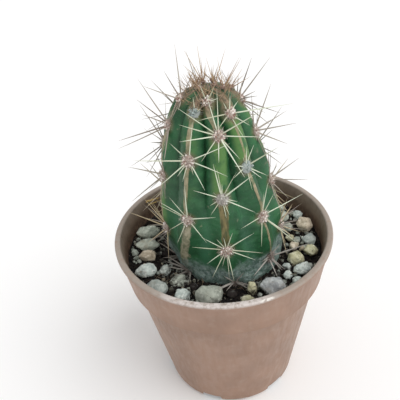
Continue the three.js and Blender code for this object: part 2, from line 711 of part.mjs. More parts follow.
// The seen stones and, where none show, others drawn to fill the soil, big ones first
function laidStones() {
  const laid = [...SEEN_STONES];
  const draws = new Draws(LAID_SEED);
  for (let i = 0; i < STONE_TRIES; i += 1) {
    const size = THREE.MathUtils.lerp(BIGGEST_STONE, SMALLEST_STONE, i / STONE_TRIES);
    const azimuth = draws.next() * 2 * Math.PI;
    const distance = THREE.MathUtils.lerp(ROUND_STEM, WITHIN_WALL, draws.next());
    const x = distance * Math.sin(azimuth);
    const y = -distance * Math.cos(azimuth);
    const kind = STONE_KINDS[Math.floor(draws.next() * STONE_KINDS.length)];
    const width = size * THREE.MathUtils.lerp(...LAID_WIDTH, draws.next());
    const height = size * THREE.MathUtils.lerp(...LAID_HEIGHT, draws.next());
    const turn = draws.next() * 180;
    if (stoneFits(x, y, size, laid)) laid.push([x, y, size, width, height, turn, kind]);
  }
  return laid;
}

// Corners of an uneven block, spread evenly over a ball and then shaken
function stoneCorners(stone, seed) {
  const [x, y, length, width, height, turn] = stone;
  const draws = new Draws(seed);
  const corners = [];
  const golden = Math.PI * (3 - Math.sqrt(5));
  for (let i = 0; i < STONE_CORNERS; i += 1) {
    const rise = 1 - (2 * (i + 0.5)) / STONE_CORNERS;
    const round = Math.sqrt(1 - rise * rise);
    const azimuth = i * golden + draws.spread(CORNER_TURN);
    const corner = new THREE.Vector3(round * Math.cos(azimuth), round * Math.sin(azimuth), rise);
    corners.push(corner.multiplyScalar(1 + draws.spread(CORNER_SHAKE)));
  }
  const bounds = new THREE.Box3().setFromPoints(corners);
  const stretch = new THREE.Vector3(length, width, height).divide(bounds.getSize(new THREE.Vector3()));
  const middle = bounds.getCenter(new THREE.Vector3());
  for (const corner of corners) {
    corner.sub(middle).multiply(stretch);
    corner.applyAxisAngle(new THREE.Vector3(0, 0, 1), THREE.MathUtils.degToRad(turn));
  }
  const centre = new THREE.Vector3(x, y, soilHeight(x, y) + height * STONE_SEAT);
  return { corners, centre };
}

function stoneSolid({ corners, centre }, grow = 0) {
  const grown = corners.map((corner) => {
    const distance = corner.length();
    return corner.clone().multiplyScalar((distance + grow) / distance).add(centre);
  });
  return solidOf(new ConvexGeometry(grown));
}

// Soil: fills the pot, with crumbs on top, a plain hole for the neck and a hollow under each stone

function crumbs(x, y) {
  const swell = Math.sin(SWELL.x * x + SWELL.startX) * Math.cos(SWELL.y * y + SWELL.startY);
  const across = CROSS_SWELL.share * Math.sin(CROSS_SWELL.x * x + CROSS_SWELL.y * y);
  return SOIL_RELIEF * (swell + across);
}

function soilBody() {
  const wallAt = (height) => innerRadius(height) - CLEARANCE;
  const body = turned([
    [0, FLOOR + CLEARANCE],
    [wallAt(FLOOR), FLOOR + CLEARANCE],
    [wallAt(BODY_TOP), BODY_TOP],
    [wallAt(COLLAR_FOOT), COLLAR_FOOT + CLEARANCE],
    [wallAt(SOIL_LEVEL), SOIL_LEVEL],
    ...SOIL_RINGS.map((radius) => [radius, SOIL_LEVEL]),
    [0, SOIL_LEVEL],
  ], SOIL_SEGMENTS);
  const place = body.attributes.position;
  for (let i = 0; i < place.count; i += 1) {
    const [x, y, z] = [place.getX(i), place.getY(i), place.getZ(i)];
    const distance = Math.hypot(x, y);
    const crumbled = distance < SOIL_RINGS[0] + SAME && distance > SAME;
    if (z > SOIL_LEVEL - SAME) place.setZ(i, soilHeight(x, y) + (crumbled ? crumbs(x, y) : 0));
  }
  return solidOf(body);
}

function neckHole() {
  const deepest = NECK[NECK.length - 1];
  const mouth = crestRadius(HOLE_ABOVE * MOUTH_SHARE) + CLEARANCE;
  const wall = [...NECK].reverse().map(([height, radius]) => [radius + CLEARANCE, SOIL_LEVEL + height]);
  const hole = turned([
    [0, SOIL_LEVEL + deepest[0] - CLEARANCE],
    [deepest[1] + CLEARANCE, SOIL_LEVEL + deepest[0] - CLEARANCE],
    ...wall.slice(1),
    [mouth, SOIL_LEVEL],
    [mouth, SOIL_LEVEL + HOLE_ABOVE],
    [0, SOIL_LEVEL + HOLE_ABOVE],
  ]);
  return solidOf(hole.translate(STEM_FOOT.x, STEM_FOOT.y, 0));
}

function makeSoil(stones) {
  let soil = soilBody().subtract(neckHole());
  for (const stone of stones) soil = soil.subtract(stoneSolid(stone, CLEARANCE));
  return soil;
}

// Materials

function material(colour, roughness) {
  return new THREE.MeshStandardMaterial({ color: colour, roughness, metalness: 0 });
}

const MATERIALS = {
  pot: material(0x8f7567, 0.45),
  soil: material(0x1f1a17, 0.95),
  cactus: material(0x2f6b45, 0.6),
  white: material(0xd5dad3, 0.8),
  grey: material(0xb3b5ac, 0.8),
  buff: material(0xc7ac8c, 0.8),
  yellow: material(0xcfc59a, 0.75),
  violet: material(0xa9a8ad, 0.8),
};

// Model

const group = new THREE.Group();

function add(name, solid, kind) {
  const mesh = new THREE.Mesh(geometryOf(solid), MATERIALS[kind]);
  mesh.name = name;
  group.add(mesh);
}

const stones = laidStones();
const stoneShapes = stones.map((stone, index) => stoneCorners(stone, CORNER_SEED + index));

add('pot', makePot(), 'pot');
add('soil', makeSoil(stoneShapes), 'soil');
add('cactus', makeCactus(), 'cactus');
stoneShapes.forEach((shape, index) => {
  const number = String(index + 1).padStart(2, '0');
  add(`stone_${number}`, stoneSolid(shape), stones[index][6]);
});

export default group;
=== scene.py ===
"""A young hedgehog cactus in a nursery pot of soil and pale gravel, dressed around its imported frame.

Sizes of the plant and the pot are in millimetres, as in the part's source, and meshes are in metres.
"""
import json
import math

import bmesh
import bpy
import numpy as np
from bpy.props import FloatProperty, FloatVectorProperty, IntProperty, PointerProperty
from mathutils import Matrix, Quaternion, Vector, noise


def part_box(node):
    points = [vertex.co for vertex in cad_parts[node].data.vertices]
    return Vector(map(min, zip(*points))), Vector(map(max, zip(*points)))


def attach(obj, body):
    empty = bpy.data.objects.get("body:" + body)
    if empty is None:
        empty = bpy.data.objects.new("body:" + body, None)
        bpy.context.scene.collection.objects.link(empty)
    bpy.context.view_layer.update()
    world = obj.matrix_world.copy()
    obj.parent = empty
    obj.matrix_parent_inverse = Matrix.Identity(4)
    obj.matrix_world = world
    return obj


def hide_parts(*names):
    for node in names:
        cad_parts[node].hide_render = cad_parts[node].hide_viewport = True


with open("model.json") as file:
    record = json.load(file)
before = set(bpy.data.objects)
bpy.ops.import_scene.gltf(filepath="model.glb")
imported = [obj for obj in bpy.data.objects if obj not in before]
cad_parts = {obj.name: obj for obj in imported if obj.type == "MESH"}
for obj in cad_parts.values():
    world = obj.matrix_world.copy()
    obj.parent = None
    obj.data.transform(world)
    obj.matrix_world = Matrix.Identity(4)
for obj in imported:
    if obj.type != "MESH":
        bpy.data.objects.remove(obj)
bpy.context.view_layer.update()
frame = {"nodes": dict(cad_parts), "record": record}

bl_info = {
    "name": "Potted hedgehog cactus",
    "version": (1, 0, 0),
    "blender": (4, 5, 0),
    "location": "View3D > Sidebar > Cactus",
    "description": "Builds a ribbed, spiny cactus in a pot of soil and gravel around its packed frame",
    "category": "Object",
}

MM = 0.001

# Roughness and fineness of each layer of fractal noise
FRACTAL = (0.9, 2.1)

# Distance under which two points of a mesh are one, and of a stone's mesh
DOUBLED = 0.0001 * MM
STONE_DOUBLED = 0.001 * MM


def tint(hexadecimal):
    """Linear colour of a hexadecimal sRGB one."""
    channels = [int(hexadecimal[i:i + 2], 16) / 255 for i in (0, 2, 4)]
    return tuple(c / 12.92 if c <= 0.04045 else ((c + 0.055) / 1.055) ** 2.4 for c in channels)


def smoothstep(value, low, high):
    share = np.clip((value - low) / (high - low), 0, 1)
    return share * share * (3 - 2 * share)


def polar(radius, azimuth):
    """The x and y of a place at a radius, with its azimuth in radians from the front."""
    return radius * math.sin(azimuth), -radius * math.cos(azimuth)


class Draws:
    """Repeatable draws, in the same order as the part's source makes them."""

    FACTOR = 1664525
    STEP = 1013904223
    RANGE = 2 ** 32
    FIRST_DROPPED = 4

    def __init__(self, seed):
        self.state = seed
        for _ in range(self.FIRST_DROPPED):
            self.next()

    def next(self):
        self.state = (self.state * self.FACTOR + self.STEP) % self.RANGE
        return self.state / self.RANGE

    def spread(self, size):
        return (2 * self.next() - 1) * size

    def direction(self):
        """A vector with each part drawn from -1 to 1."""
        return Vector((self.spread(1), self.spread(1), self.spread(1)))


# Pot and soil, as in the part's source
POT_LOW, POT_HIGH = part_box("pot")
POT_HEIGHT = POT_HIGH.z / MM
RIM_RADIUS = POT_HIGH.x / MM
LIP_HEIGHT = 1.8
LIP_OVERHANG = 0.6
LIP_ROUND = 0.45
COLLAR_HEIGHT = 11.3
COLLAR_FOOT_RADIUS = 25.45
STEP_HEIGHT = 0.9
BODY_TOP_RADIUS = 24.05
BASE_RADIUS = 18.2
BASE_ROUND = 1.6
WALL = 1.1
FLOOR = 1.5
COLLAR_FOOT = POT_HEIGHT - COLLAR_HEIGHT
BODY_TOP = COLLAR_FOOT - STEP_HEIGHT
DRAIN_SLOTS = 6
DRAIN_LENGTH = 6
DRAIN_WIDTH = 3.4
DRAIN_HEIGHT = 2.2
DRAIN_CIRCLE = 17
DRAIN_AZIMUTH = 40
CLEARANCE = 0.3
SOIL_LEVEL = 40

# Width of the lip's top, and the height from which the wall thins up to it
LIP_WIDTH = 1.5
THINNED_FROM = 44

# How far the soil is heaped up at both sides, and over which distances from the pot's middle
SOIL_HEAP = 2.2
HEAPED_FROM = (15.4, 20.5)

# Stem, as in the part's source
STEM_FOOT = 1.3
STEM_LEAN = -5
STEM_RETURN = 1.9
TIP_SHIFT = 1.2
STEM_HEIGHT = 46
STEM_RADIUS = 15.5
STEM_TAPER = 1.75
STEM_BLUNTNESS = 0.36
WAIST = 0.13
WAIST_SHARE = 0.25
RIB_COUNT = 10
NOTCH_DEPTH = 1
NOTCH_REACH = 2.3
FURROW_AT_FOOT = 0.1
FURROW_ADDED = 0.13
FURROW_POWER = 1.9
FURROW_BEGINS = (-0.02, 0.11)
FURROW_SHARPENS = (0.04, 0.78)
SUNK_FOOT = -2.5
SUNK_ROWS = 6

# Areoles and spines, as in the part's source
PAD_HEIGHT = 0.7
SPINE_ROOT = 1.1
SPINE_SPREAD = 0.85
THICK_SPREAD = 0.3
THICK_RISE = 28
DEAD_AGE = 0.85
STONE_CLEAR = 2.6
HEAP_CLEAR = 1.4
STEEPEST = 0.9
ABOVE_RIM = POT_HEIGHT + 2
OUTWARD_PULL = 0.6
TOP_PAD_SHRINK = 0.3
SHRINKS_ABOVE = 0.78
SHORT_SPINES = 3
SHORT_SPINE = ((0, 2.8, 55), (180, 1, 20))
CROWN_SEED = 901

# Girths against that of a usual spine, and how far from the middle a spine stays clear of the wall
YOUNG_GIRTH = 0.72
DEAD_GIRTH = 1.65
THICKER = 1.25
WALL_CLEAR = 24.6

# Size of an areole on the tip against that of the others, and how much of an areole faces the front, from
# which its spines are painted pale as lit in front and darker as shaded at the sides
TIP_PAD_SIZE = 0.42
FRONT_FACING = (0.25, 0.7)

# Ribs that face the front, as (height, azimuth, spines) of each areole, and a spine as
# (clock bearing on the skin, length, rise off the skin)
FRONT_RIB = [
    (0.2, 4, [
        (300, 6, 20), (245, 6, 20), (205, 6, 20), (165, 6, 20), (100, 5, 45), (70, 7, 15), (20, 7, 15),
        (340, 6, 15)]),
    (12, 2, [
        (297, 7.7, 15), (319, 6.7, 15), (339, 4.3, 20), (359, 4.6, 25), (20, 5.1, 15), (52, 7.7, 15),
        (96, 7.6, 15), (114, 6.3, 15), (173, 6.9, 32), (222, 6.4, 25), (249, 4.6, 15), (201, 3.5, 12),
        (183, 6.3, 18)]),
    (25.2, 6, [
        (304, 6.5, 15), (354, 9, 15), (0, 7.2, 15), (5, 3.6, 20), (29, 6.6, 15), (42, 11.2, 35),
        (105, 2.6, 20), (120, 7, 15), (227, 3.5, 15), (255, 2.2, 15), (176, 3.6, 20), (165, 3.1, 15)]),
    (38.6, 13, [
        (313, 11.3, 25), (295, 9, 22), (274, 8, 15), (228, 5.8, 15), (193, 4.8, 15), (163, 10.6, 38),
        (149, 5.7, 15), (102, 8.2, 20), (65, 10.6, 32), (4, 9.2, 20), (350, 7.9, 15)]),
    (44.6, -5, [(330, 4, 45), (40, 4, 50), (90, 3, 40)]),
]
RIGHT_RIB = [
    (4.9, 48, [
        (68, 10, 41), (50, 3.3, 12), (345, 4, 20), (180, 4.7, 65), (199, 4.4, 56), (224, 5.5, 27),
        (278, 7.5, 10), (305, 5, 15)]),
    (17.5, 46, [
        (4, 9.3, 18), (3, 6.1, 15), (44, 5.3, 14), (88, 10.8, 20), (155, 11.4, 32), (147, 9.5, 12),
        (212, 6.2, 12), (287, 8.2, 10)]),
    (30.7, 40, [
        (344, 6.8, 34), (23, 4.5, 25), (343, 2.4, 20), (72, 7.7, 32), (134, 5.2, 12), (147, 4.2, 12),
        (188, 4.6, 12), (268, 4.1, 12), (299, 5, 25)]),
    (42, 38, [
        (105, 12.8, 43), (140, 4.2, 15), (176, 5.6, 12), (276, 9.9, 18), (246, 4.5, 12), (333, 2.2, 20),
        (358, 3.9, 35), (53, 2.4, 20)]),
]
FAR_RIGHT_RIB = [
    (8.9, 82, [
        (10, 7, 20), (38, 5.8, 36), (95, 8, 22), (140, 8, 20), (180, 7, 15), (225, 7, 12), (270, 7, 12),
        (320, 7, 15)]),
    (22.6, 81, [
        (42, 8.2, 64), (37, 3.5, 38), (32, 5.7, 13), (175, 8.7, 79), (210, 6.1, 35), (169, 4.6, 12),
        (0, 8, 12), (225, 7, 12), (270, 7, 12), (320, 7, 12)]),
    (35.2, 83, [
        (158, 9.1, 80), (52, 8.2, 75), (197, 7.6, 52), (27, 10.4, 37), (24, 7.1, 13), (215, 7.5, 10),
        (268, 4, 10), (225, 4.5, 12), (330, 6, 15), (105, 8, 20)]),
    (42.4, 93, [(34, 10.5, 69), (120, 5, 40), (62, 4, 30), (205, 4.5, 20), (280, 4, 30), (150, 5, 25)]),
]
FAR_LEFT_RIB = [
    (0.8, -80, [
        (0, 7, 20), (50, 6, 15), (100, 6, 15), (150, 5, 20), (210, 5, 20), (260, 6, 15), (310, 7, 15)]),
    (11.3, -78, [
        (326, 10, 56), (318, 8.6, 28), (325, 7.4, 24), (333, 6.8, 20), (328, 6.3, 34), (144, 6, 65),
        (140, 7.1, 12), (128, 5, 12), (100, 5, 12)]),
    (27.2, -71, [
        (305, 8.2, 67), (166, 9.4, 59), (164, 4.8, 10), (142, 4.8, 8), (110, 3.5, 12), (335, 6, 15),
        (30, 6, 15), (215, 7, 20)]),
    (38.8, -76, [
        (327, 11.5, 46), (312, 8.6, 60), (279, 6.1, 70), (183, 11.3, 60), (174, 11.9, 51), (118, 8.7, 12),
        (131, 7.5, 8), (125, 8.5, 8), (139, 5.5, 8), (4, 3.1, 15), (60, 4, 20)]),
    (43.8, -84, [
        (332, 11.1, 42), (303, 6.7, 64), (205, 8.5, 65), (343, 6.7, 15), (95, 5, 12), (138, 3.7, 12),
        (115, 6, 10), (60, 4, 25)]),
]
LEFT_RIB = [
    (0.8, -52, [
        (284, 6, 15), (345, 7, 15), (30, 6, 15), (85, 6, 10), (130, 6, 20), (175, 6, 25), (222, 6, 30),
        (250, 5, 20)]),
    (19.4, -33, [
        (336, 6.3, 18), (312, 7, 22), (296, 6.6, 15), (10, 9.8, 15), (65, 9.7, 15), (20, 3, 30),
        (121, 6.2, 15), (201, 6.1, 15), (233, 5.2, 15)]),
    (33.6, -27, [
        (271, 11.3, 35), (312, 4.6, 15), (15, 9.1, 18), (63, 12.6, 18), (93, 10.2, 15), (135, 6.5, 15),
        (145, 2.5, 20), (192, 3.9, 15), (222, 8.1, 30), (213, 3.7, 12)]),
    (42.9, -25, [(350, 3, 30), (60, 2, 30)]),
]

# Areoles on the flat tip, as (azimuth, distance from its middle, drop, spines), with bearings from the back
CROWN = [
    (214, 2.3, 0, [
        (339, 7.7, 78), (292, 7.6, 62), (44, 3.9, 72), (281, 5.2, 44), (356, 5.1, 78), (281, 3.2, 42),
        (200, 5, 60), (150, 4, 60)]),
    (76, 1.1, 0, [(316, 5.8, 73), (64, 7.7, 65), (0, 3, 77), (200, 4, 65)]),
    (75, 3.2, 0.5, [(320, 6.2, 74), (70, 6.7, 59), (85, 7, 57), (100, 3, 54), (150, 3.5, 40)]),
    (94, 4.6, 1, [(81, 3.9, 38), (86, 4, 26), (60, 4.5, 50), (130, 3, 30)]),
    (232, 3.8, 0.5, [(286, 2.9, 52), (240, 3, 50), (310, 4, 60), (200, 4.5, 50)]),
    (302, 2.3, 0, [(130, 5, -12)]),
    (165, 3.2, 0.3, [(294, 1.5, 60), (25, 3.3, 76), (79, 2.9, 40), (180, 5, 55), (140, 4.5, 60)]),
]

# Spines of the ribs behind, as usual values of a spine and how much each varies
FAN_COUNT = 8
FAN_TURN = 20
FAN_SPINE = ((0, 7.8, 15), (12, 1.8, 5))
MIDDLE_SPINES = [((170, 10.5, 36), (50, 1.5, 8)), ((350, 9.5, 48), (50, 1.5, 8))]
AREOLE_PITCH = 12.8
TOP_AREOLE = 44.5
TOP_TURN = 8
RIB_SEEDS = 10


def varied(kind, draws):
    """A spine's values, each drawn about its usual one."""
    usual, spreads = kind
    return tuple(value + draws.spread(spread) for value, spread in zip(usual, spreads))


def fanned_areole(height, azimuth, seed):
    """An areole behind, with a fan of spines and two middle ones."""
    draws = Draws(seed)
    turn = draws.spread(FAN_TURN)
    spines = []
    for i in range(FAN_COUNT):
        bearing, length, rise = varied(FAN_SPINE, draws)
        spines.append((bearing + turn + 360 * i / FAN_COUNT, length, rise))
    spines += [varied(kind, draws) for kind in MIDDLE_SPINES]
    return (height, azimuth, spines)


def fanned_rib(azimuth, first_height):
    """The areoles of a rib behind, from the lowest up."""
    areoles = []
    height = first_height
    while height < TOP_AREOLE:
        turn = TOP_TURN * (height / STEM_HEIGHT) ** 3
        areoles.append(fanned_areole(height, azimuth + turn, azimuth * RIB_SEEDS + len(areoles)))
        height += AREOLE_PITCH
    return areoles


RIBS = [
    FRONT_RIB,
    RIGHT_RIB,
    FAR_RIGHT_RIB,
    fanned_rib(114, 2.6),
    fanned_rib(149, 8.4),
    fanned_rib(184, 1.4),
    fanned_rib(219, 12.2),
    fanned_rib(253, 6.2),
    FAR_LEFT_RIB,
    LEFT_RIB,
]


# Stem surface, worked out for whole rows of heights at once

def crest_radius(height):
    """Distance of a rib's crest from the stem's middle."""
    share = np.clip(np.asarray(height, float) / STEM_HEIGHT, 0, 1)
    dome = (1 - share ** STEM_TAPER) ** STEM_BLUNTNESS
    waist = 1 - WAIST * np.clip(1 - share / WAIST_SHARE, 0, None) ** 2
    return STEM_RADIUS * dome * waist


def stem_centre(height):
    """The stem's middle, which leans and comes back upright."""
    share = np.clip(np.asarray(height, float) / STEM_HEIGHT, 0, None)
    lean = STEM_LEAN * share + STEM_RETURN * share ** 2 + TIP_SHIFT * share ** 10
    return np.stack([STEM_FOOT + lean, 0 * share, SOIL_LEVEL + np.asarray(height, float)], -1)


def crest_azimuth(rib, height):
    """Azimuth of a rib's crest, which runs through its areoles."""
    lap, place = divmod(rib, RIB_COUNT)
    heights = [areole[0] for areole in RIBS[place]]
    azimuths = [areole[1] for areole in RIBS[place]]
    height = np.asarray(height, float)
    degrees = np.full(height.shape, float(azimuths[0]))
    for i in range(len(heights) - 1):
        share = np.clip((height - heights[i]) / (heights[i + 1] - heights[i]), 0, 1)
        smooth = share * share * (3 - 2 * share)
        here = height > heights[i]
        degrees[here] = (azimuths[i] + (azimuths[i + 1] - azimuths[i]) * smooth)[here]
    past_behind = (degrees < 0) & (place > RIB_COUNT / 2)
    return degrees + 360 * (lap + past_behind)


def furrow(from_crest, height):
    """Shallow soft furrows at the foot and deep narrow ones at the top."""
    share = smoothstep(height / STEM_HEIGHT, *FURROW_SHARPENS)
    begun = smoothstep(height / STEM_HEIGHT, *FURROW_BEGINS)
    depth = begun * (FURROW_AT_FOOT + FURROW_ADDED * share)
    soft = np.sin(from_crest * math.pi / 2)
    narrow = from_crest ** FURROW_POWER
    return depth * (soft + (narrow - soft) * share)


def notch(rib, height):
    """How deep the crest is notched at and near a rib's areoles."""
    dip = sum(np.exp(-(((height - areole[0]) / NOTCH_REACH) ** 2)) for areole in RIBS[rib % RIB_COUNT])
    return NOTCH_DEPTH * np.clip(dip, None, 1) * np.clip(crest_radius(height) / STEM_RADIUS, None, 1)


def skin(phase, height):
    """Points on the skin, with phase counted in ribs round the stem and whole on a crest."""
    height = np.atleast_1d(np.asarray(height, float))
    rib = math.floor(phase)
    between = phase - rib
    low, high = crest_azimuth(rib, height), crest_azimuth(rib + 1, height)
    azimuth = np.radians(low + (high - low) * between)
    from_crest = 1 - abs(2 * between - 1)
    dip = notch(math.floor(phase + 0.5), height) * (1 - from_crest) ** 2
    radius = crest_radius(height) * (1 - furrow(from_crest, height)) - dip
    points = stem_centre(height)
    points[:, 0] += radius * np.sin(azimuth)
    points[:, 1] -= radius * np.cos(azimuth)
    return points


def skin_point(phase, height):
    return Vector(skin(phase, height)[0])


def row_heights(rows):
    """Heights that cut the stem's outline into rows of even length."""
    fine = 400
    heights = STEM_HEIGHT * np.sin(np.arange(fine + 1) / fine * math.pi / 2)
    steps = np.hypot(np.diff(heights), np.diff(crest_radius(heights)))
    length = np.concatenate([[0], np.cumsum(steps)])
    return np.interp(length[-1] * np.arange(rows + 1) / rows, length, heights)


# Areoles and spines

# Bluish grey areoles, by their rib and their place on it from the soil up
GREY_AREOLES = {(1, 2): 1.0, (0, 2): 0.45, (8, 0): 0.5, (9, 3): 1.0, (3, 1): 0.7, (5, 2): 0.8}


def areole_frame(rib, height):
    """An areole's place and the directions up the rib, to the right and off the skin."""
    step = 0.3
    aside = 0.25
    origin = skin_point(rib, height)
    up = (skin_point(rib, min(height + step, STEM_HEIGHT)) - skin_point(rib, height - step)).normalized()
    right = (skin_point(rib + aside, height) - skin_point(rib - aside, height)).normalized()
    out = right.cross(up).normalized()
    return {"origin": origin, "up": up, "right": up.cross(out), "out": out}


def spine_direction(areole, bearing, rise, length):
    """A spine's direction, bent clear of the stones below it."""
    turn, lift = math.radians(bearing), math.radians(rise)
    direction = areole["out"] * math.sin(lift)
    direction += areole["up"] * (math.cos(lift) * math.cos(turn))
    direction += areole["right"] * (math.cos(lift) * math.sin(turn))
    clear = SOIL_LEVEL + STONE_CLEAR + HEAP_CLEAR * areole["out"].x ** 2
    lowest = min((clear - areole["origin"].z) / length, STEEPEST)
    if direction.z < lowest:
        outward = Vector((direction.x, direction.y)) + OUTWARD_PULL * areole["out"].xy
        outward *= math.sqrt(1 - lowest * lowest) / outward.length
        direction = Vector((outward.x, outward.y, lowest))
    return direction


def spine_length(origin, direction, length):
    """A spine's length, shortened where it would meet the pot's wall."""
    step = 0.2
    kept = length
    while kept > step:
        tip = origin + direction * kept
        if tip.z > ABOVE_RIM or math.hypot(tip.x, tip.y) < WALL_CLEAR:
            return kept
        kept -= step
    return step


def facing_front(out):
    """How much a direction off the skin faces the front, from 0 to 1."""
    return float(smoothstep(-out.y, *FRONT_FACING))


def spine_row(areole, spine):
    """One spine as its root, direction, length, whether it is a stout one, its age, girth and facing."""
    bearing, length, rise = spine
    age = areole["age"]
    direction = spine_direction(areole, bearing, rise, length)
    reach = spine_length(areole["origin"], direction, length)
    thick = rise > THICK_RISE
    sideways = direction - areole["out"] * direction.dot(areole["out"])
    root = areole["origin"] + sideways * (THICK_SPREAD if thick else SPINE_SPREAD)
    girth = YOUNG_GIRTH if age == 0 else DEAD_GIRTH if age > DEAD_AGE else THICKER if thick else 1
    return {
        "root": root, "direction": direction, "reach": reach, "thick": thick, "age": age,
        "girth": girth, "front": facing_front(areole["out"]),
    }


def rib_areoles():
    """Every areole of the ribs with its frame, size, age from 1 at the soil to 0 at the tip, and spines."""
    rows = []
    for rib, areoles in enumerate(RIBS):
        for index, (height, _, spines) in enumerate(areoles):
            areole = areole_frame(rib, height)
            shrink = TOP_PAD_SHRINK * smoothstep(height / STEM_HEIGHT, SHRINKS_ABOVE, 1)
            grey = GREY_AREOLES.get((rib, index), 0)
            areole.update(size=1 - float(shrink), age=1 - height / STEM_HEIGHT, grey=grey, spines=spines)
            rows.append(areole)
    return rows


def tip_areoles():
    """The young areoles on the stem's tip, with their upright spines."""
    rows = []
    draws = Draws(CROWN_SEED)
    centre = Vector(stem_centre(np.array([STEM_HEIGHT]))[0])
    for azimuth, distance, drop, spines in CROWN:
        turn = math.radians(azimuth)
        aside = Vector((*polar(distance, turn), PAD_HEIGHT / 2 - drop))
        short = [varied(SHORT_SPINE, draws) for _ in range(SHORT_SPINES)]
        rows.append({
            "origin": centre + aside, "up": Vector((0, 1, 0)), "right": Vector((1, 0, 0)),
            "out": Vector((0, 0, 1)), "size": TIP_PAD_SIZE, "age": 0, "grey": 0, "spines": [*spines, *short],
        })
    return rows


def every_areole():
    """The areoles of the ribs and then those of the tip."""
    return [*rib_areoles(), *tip_areoles()]


# Meshes

def show(obj):
    """Links a new object to the scene."""
    bpy.context.scene.collection.objects.link(obj)
    return obj


def mesh_object(name, points, faces=(), edges=()):
    """An object from points in millimetres."""
    mesh = bpy.data.meshes.new(name)
    mesh.from_pydata([tuple(c * MM for c in point) for point in points], list(edges), list(faces))
    mesh.update()
    return show(bpy.data.objects.new(name, mesh))


def store(obj, name, values, kind="FLOAT"):
    """Keeps a value or a vector for each point of a mesh."""
    layer = obj.data.attributes.new(name, kind, "POINT")
    field = "vector" if kind == "FLOAT_VECTOR" else "value"
    layer.data.foreach_set(field, np.asarray(values, np.float32).ravel())


def marked_points(name, rows):
    """Loose points from rows of a place in millimetres and of marks, which are values or vectors."""
    points = mesh_object(name, [row["place"] for row in rows])
    for mark in rows[0]:
        if mark != "place":
            values = [row[mark] for row in rows]
            store(points, mark, values, "FLOAT_VECTOR" if np.ndim(values) > 1 else "FLOAT")
    return points


def outward(obj):
    """Merges doubles and turns every face outwards."""
    bm = bmesh.new()
    bm.from_mesh(obj.data)
    bmesh.ops.remove_doubles(bm, verts=bm.verts, dist=DOUBLED)
    bmesh.ops.recalc_face_normals(bm, faces=bm.faces)
    bm.to_mesh(obj.data)
    bm.free()


def smooth(obj, angle):
    """Shades an object smoothly, but for edges sharper than an angle in degrees."""
    obj.data.shade_smooth()
    obj.data.set_sharp_from_angle(angle=math.radians(angle))


def baked(obj):
    """Turns an object with modifiers into a plain mesh object of the same name."""
    bpy.context.view_layer.update()
    evaluated = obj.evaluated_get(bpy.context.evaluated_depsgraph_get())
    mesh = bpy.data.meshes.new_from_object(evaluated)
    name = obj.name
    old = obj.data
    obj.name = name + "_source"
    result = show(bpy.data.objects.new(name, mesh))
    mesh.name = name
    bpy.data.objects.remove(obj)
    if old.users == 0:
        bpy.data.meshes.remove(old)
    return result


def finished(obj, slot, *nodes):
    """Ties a finished piece to the frame, in place of the nodes that it stands for."""
    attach(obj, "root")
    if nodes:
        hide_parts(*nodes)
    return obj


# Node trees

def put(tree, kind, settings=None, inputs=None):
    """A new node, with its settings and its inputs as plain values or as sockets to link."""
    node = tree.nodes.new(kind)
    for name, value in (settings or {}).items():
        setattr(node, name, value)
    for key, value in (inputs or {}).items():
        if isinstance(value, bpy.types.NodeSocket):
            tree.links.new(value, node.inputs[key])
        else:
            node.inputs[key].default_value = value
    return node


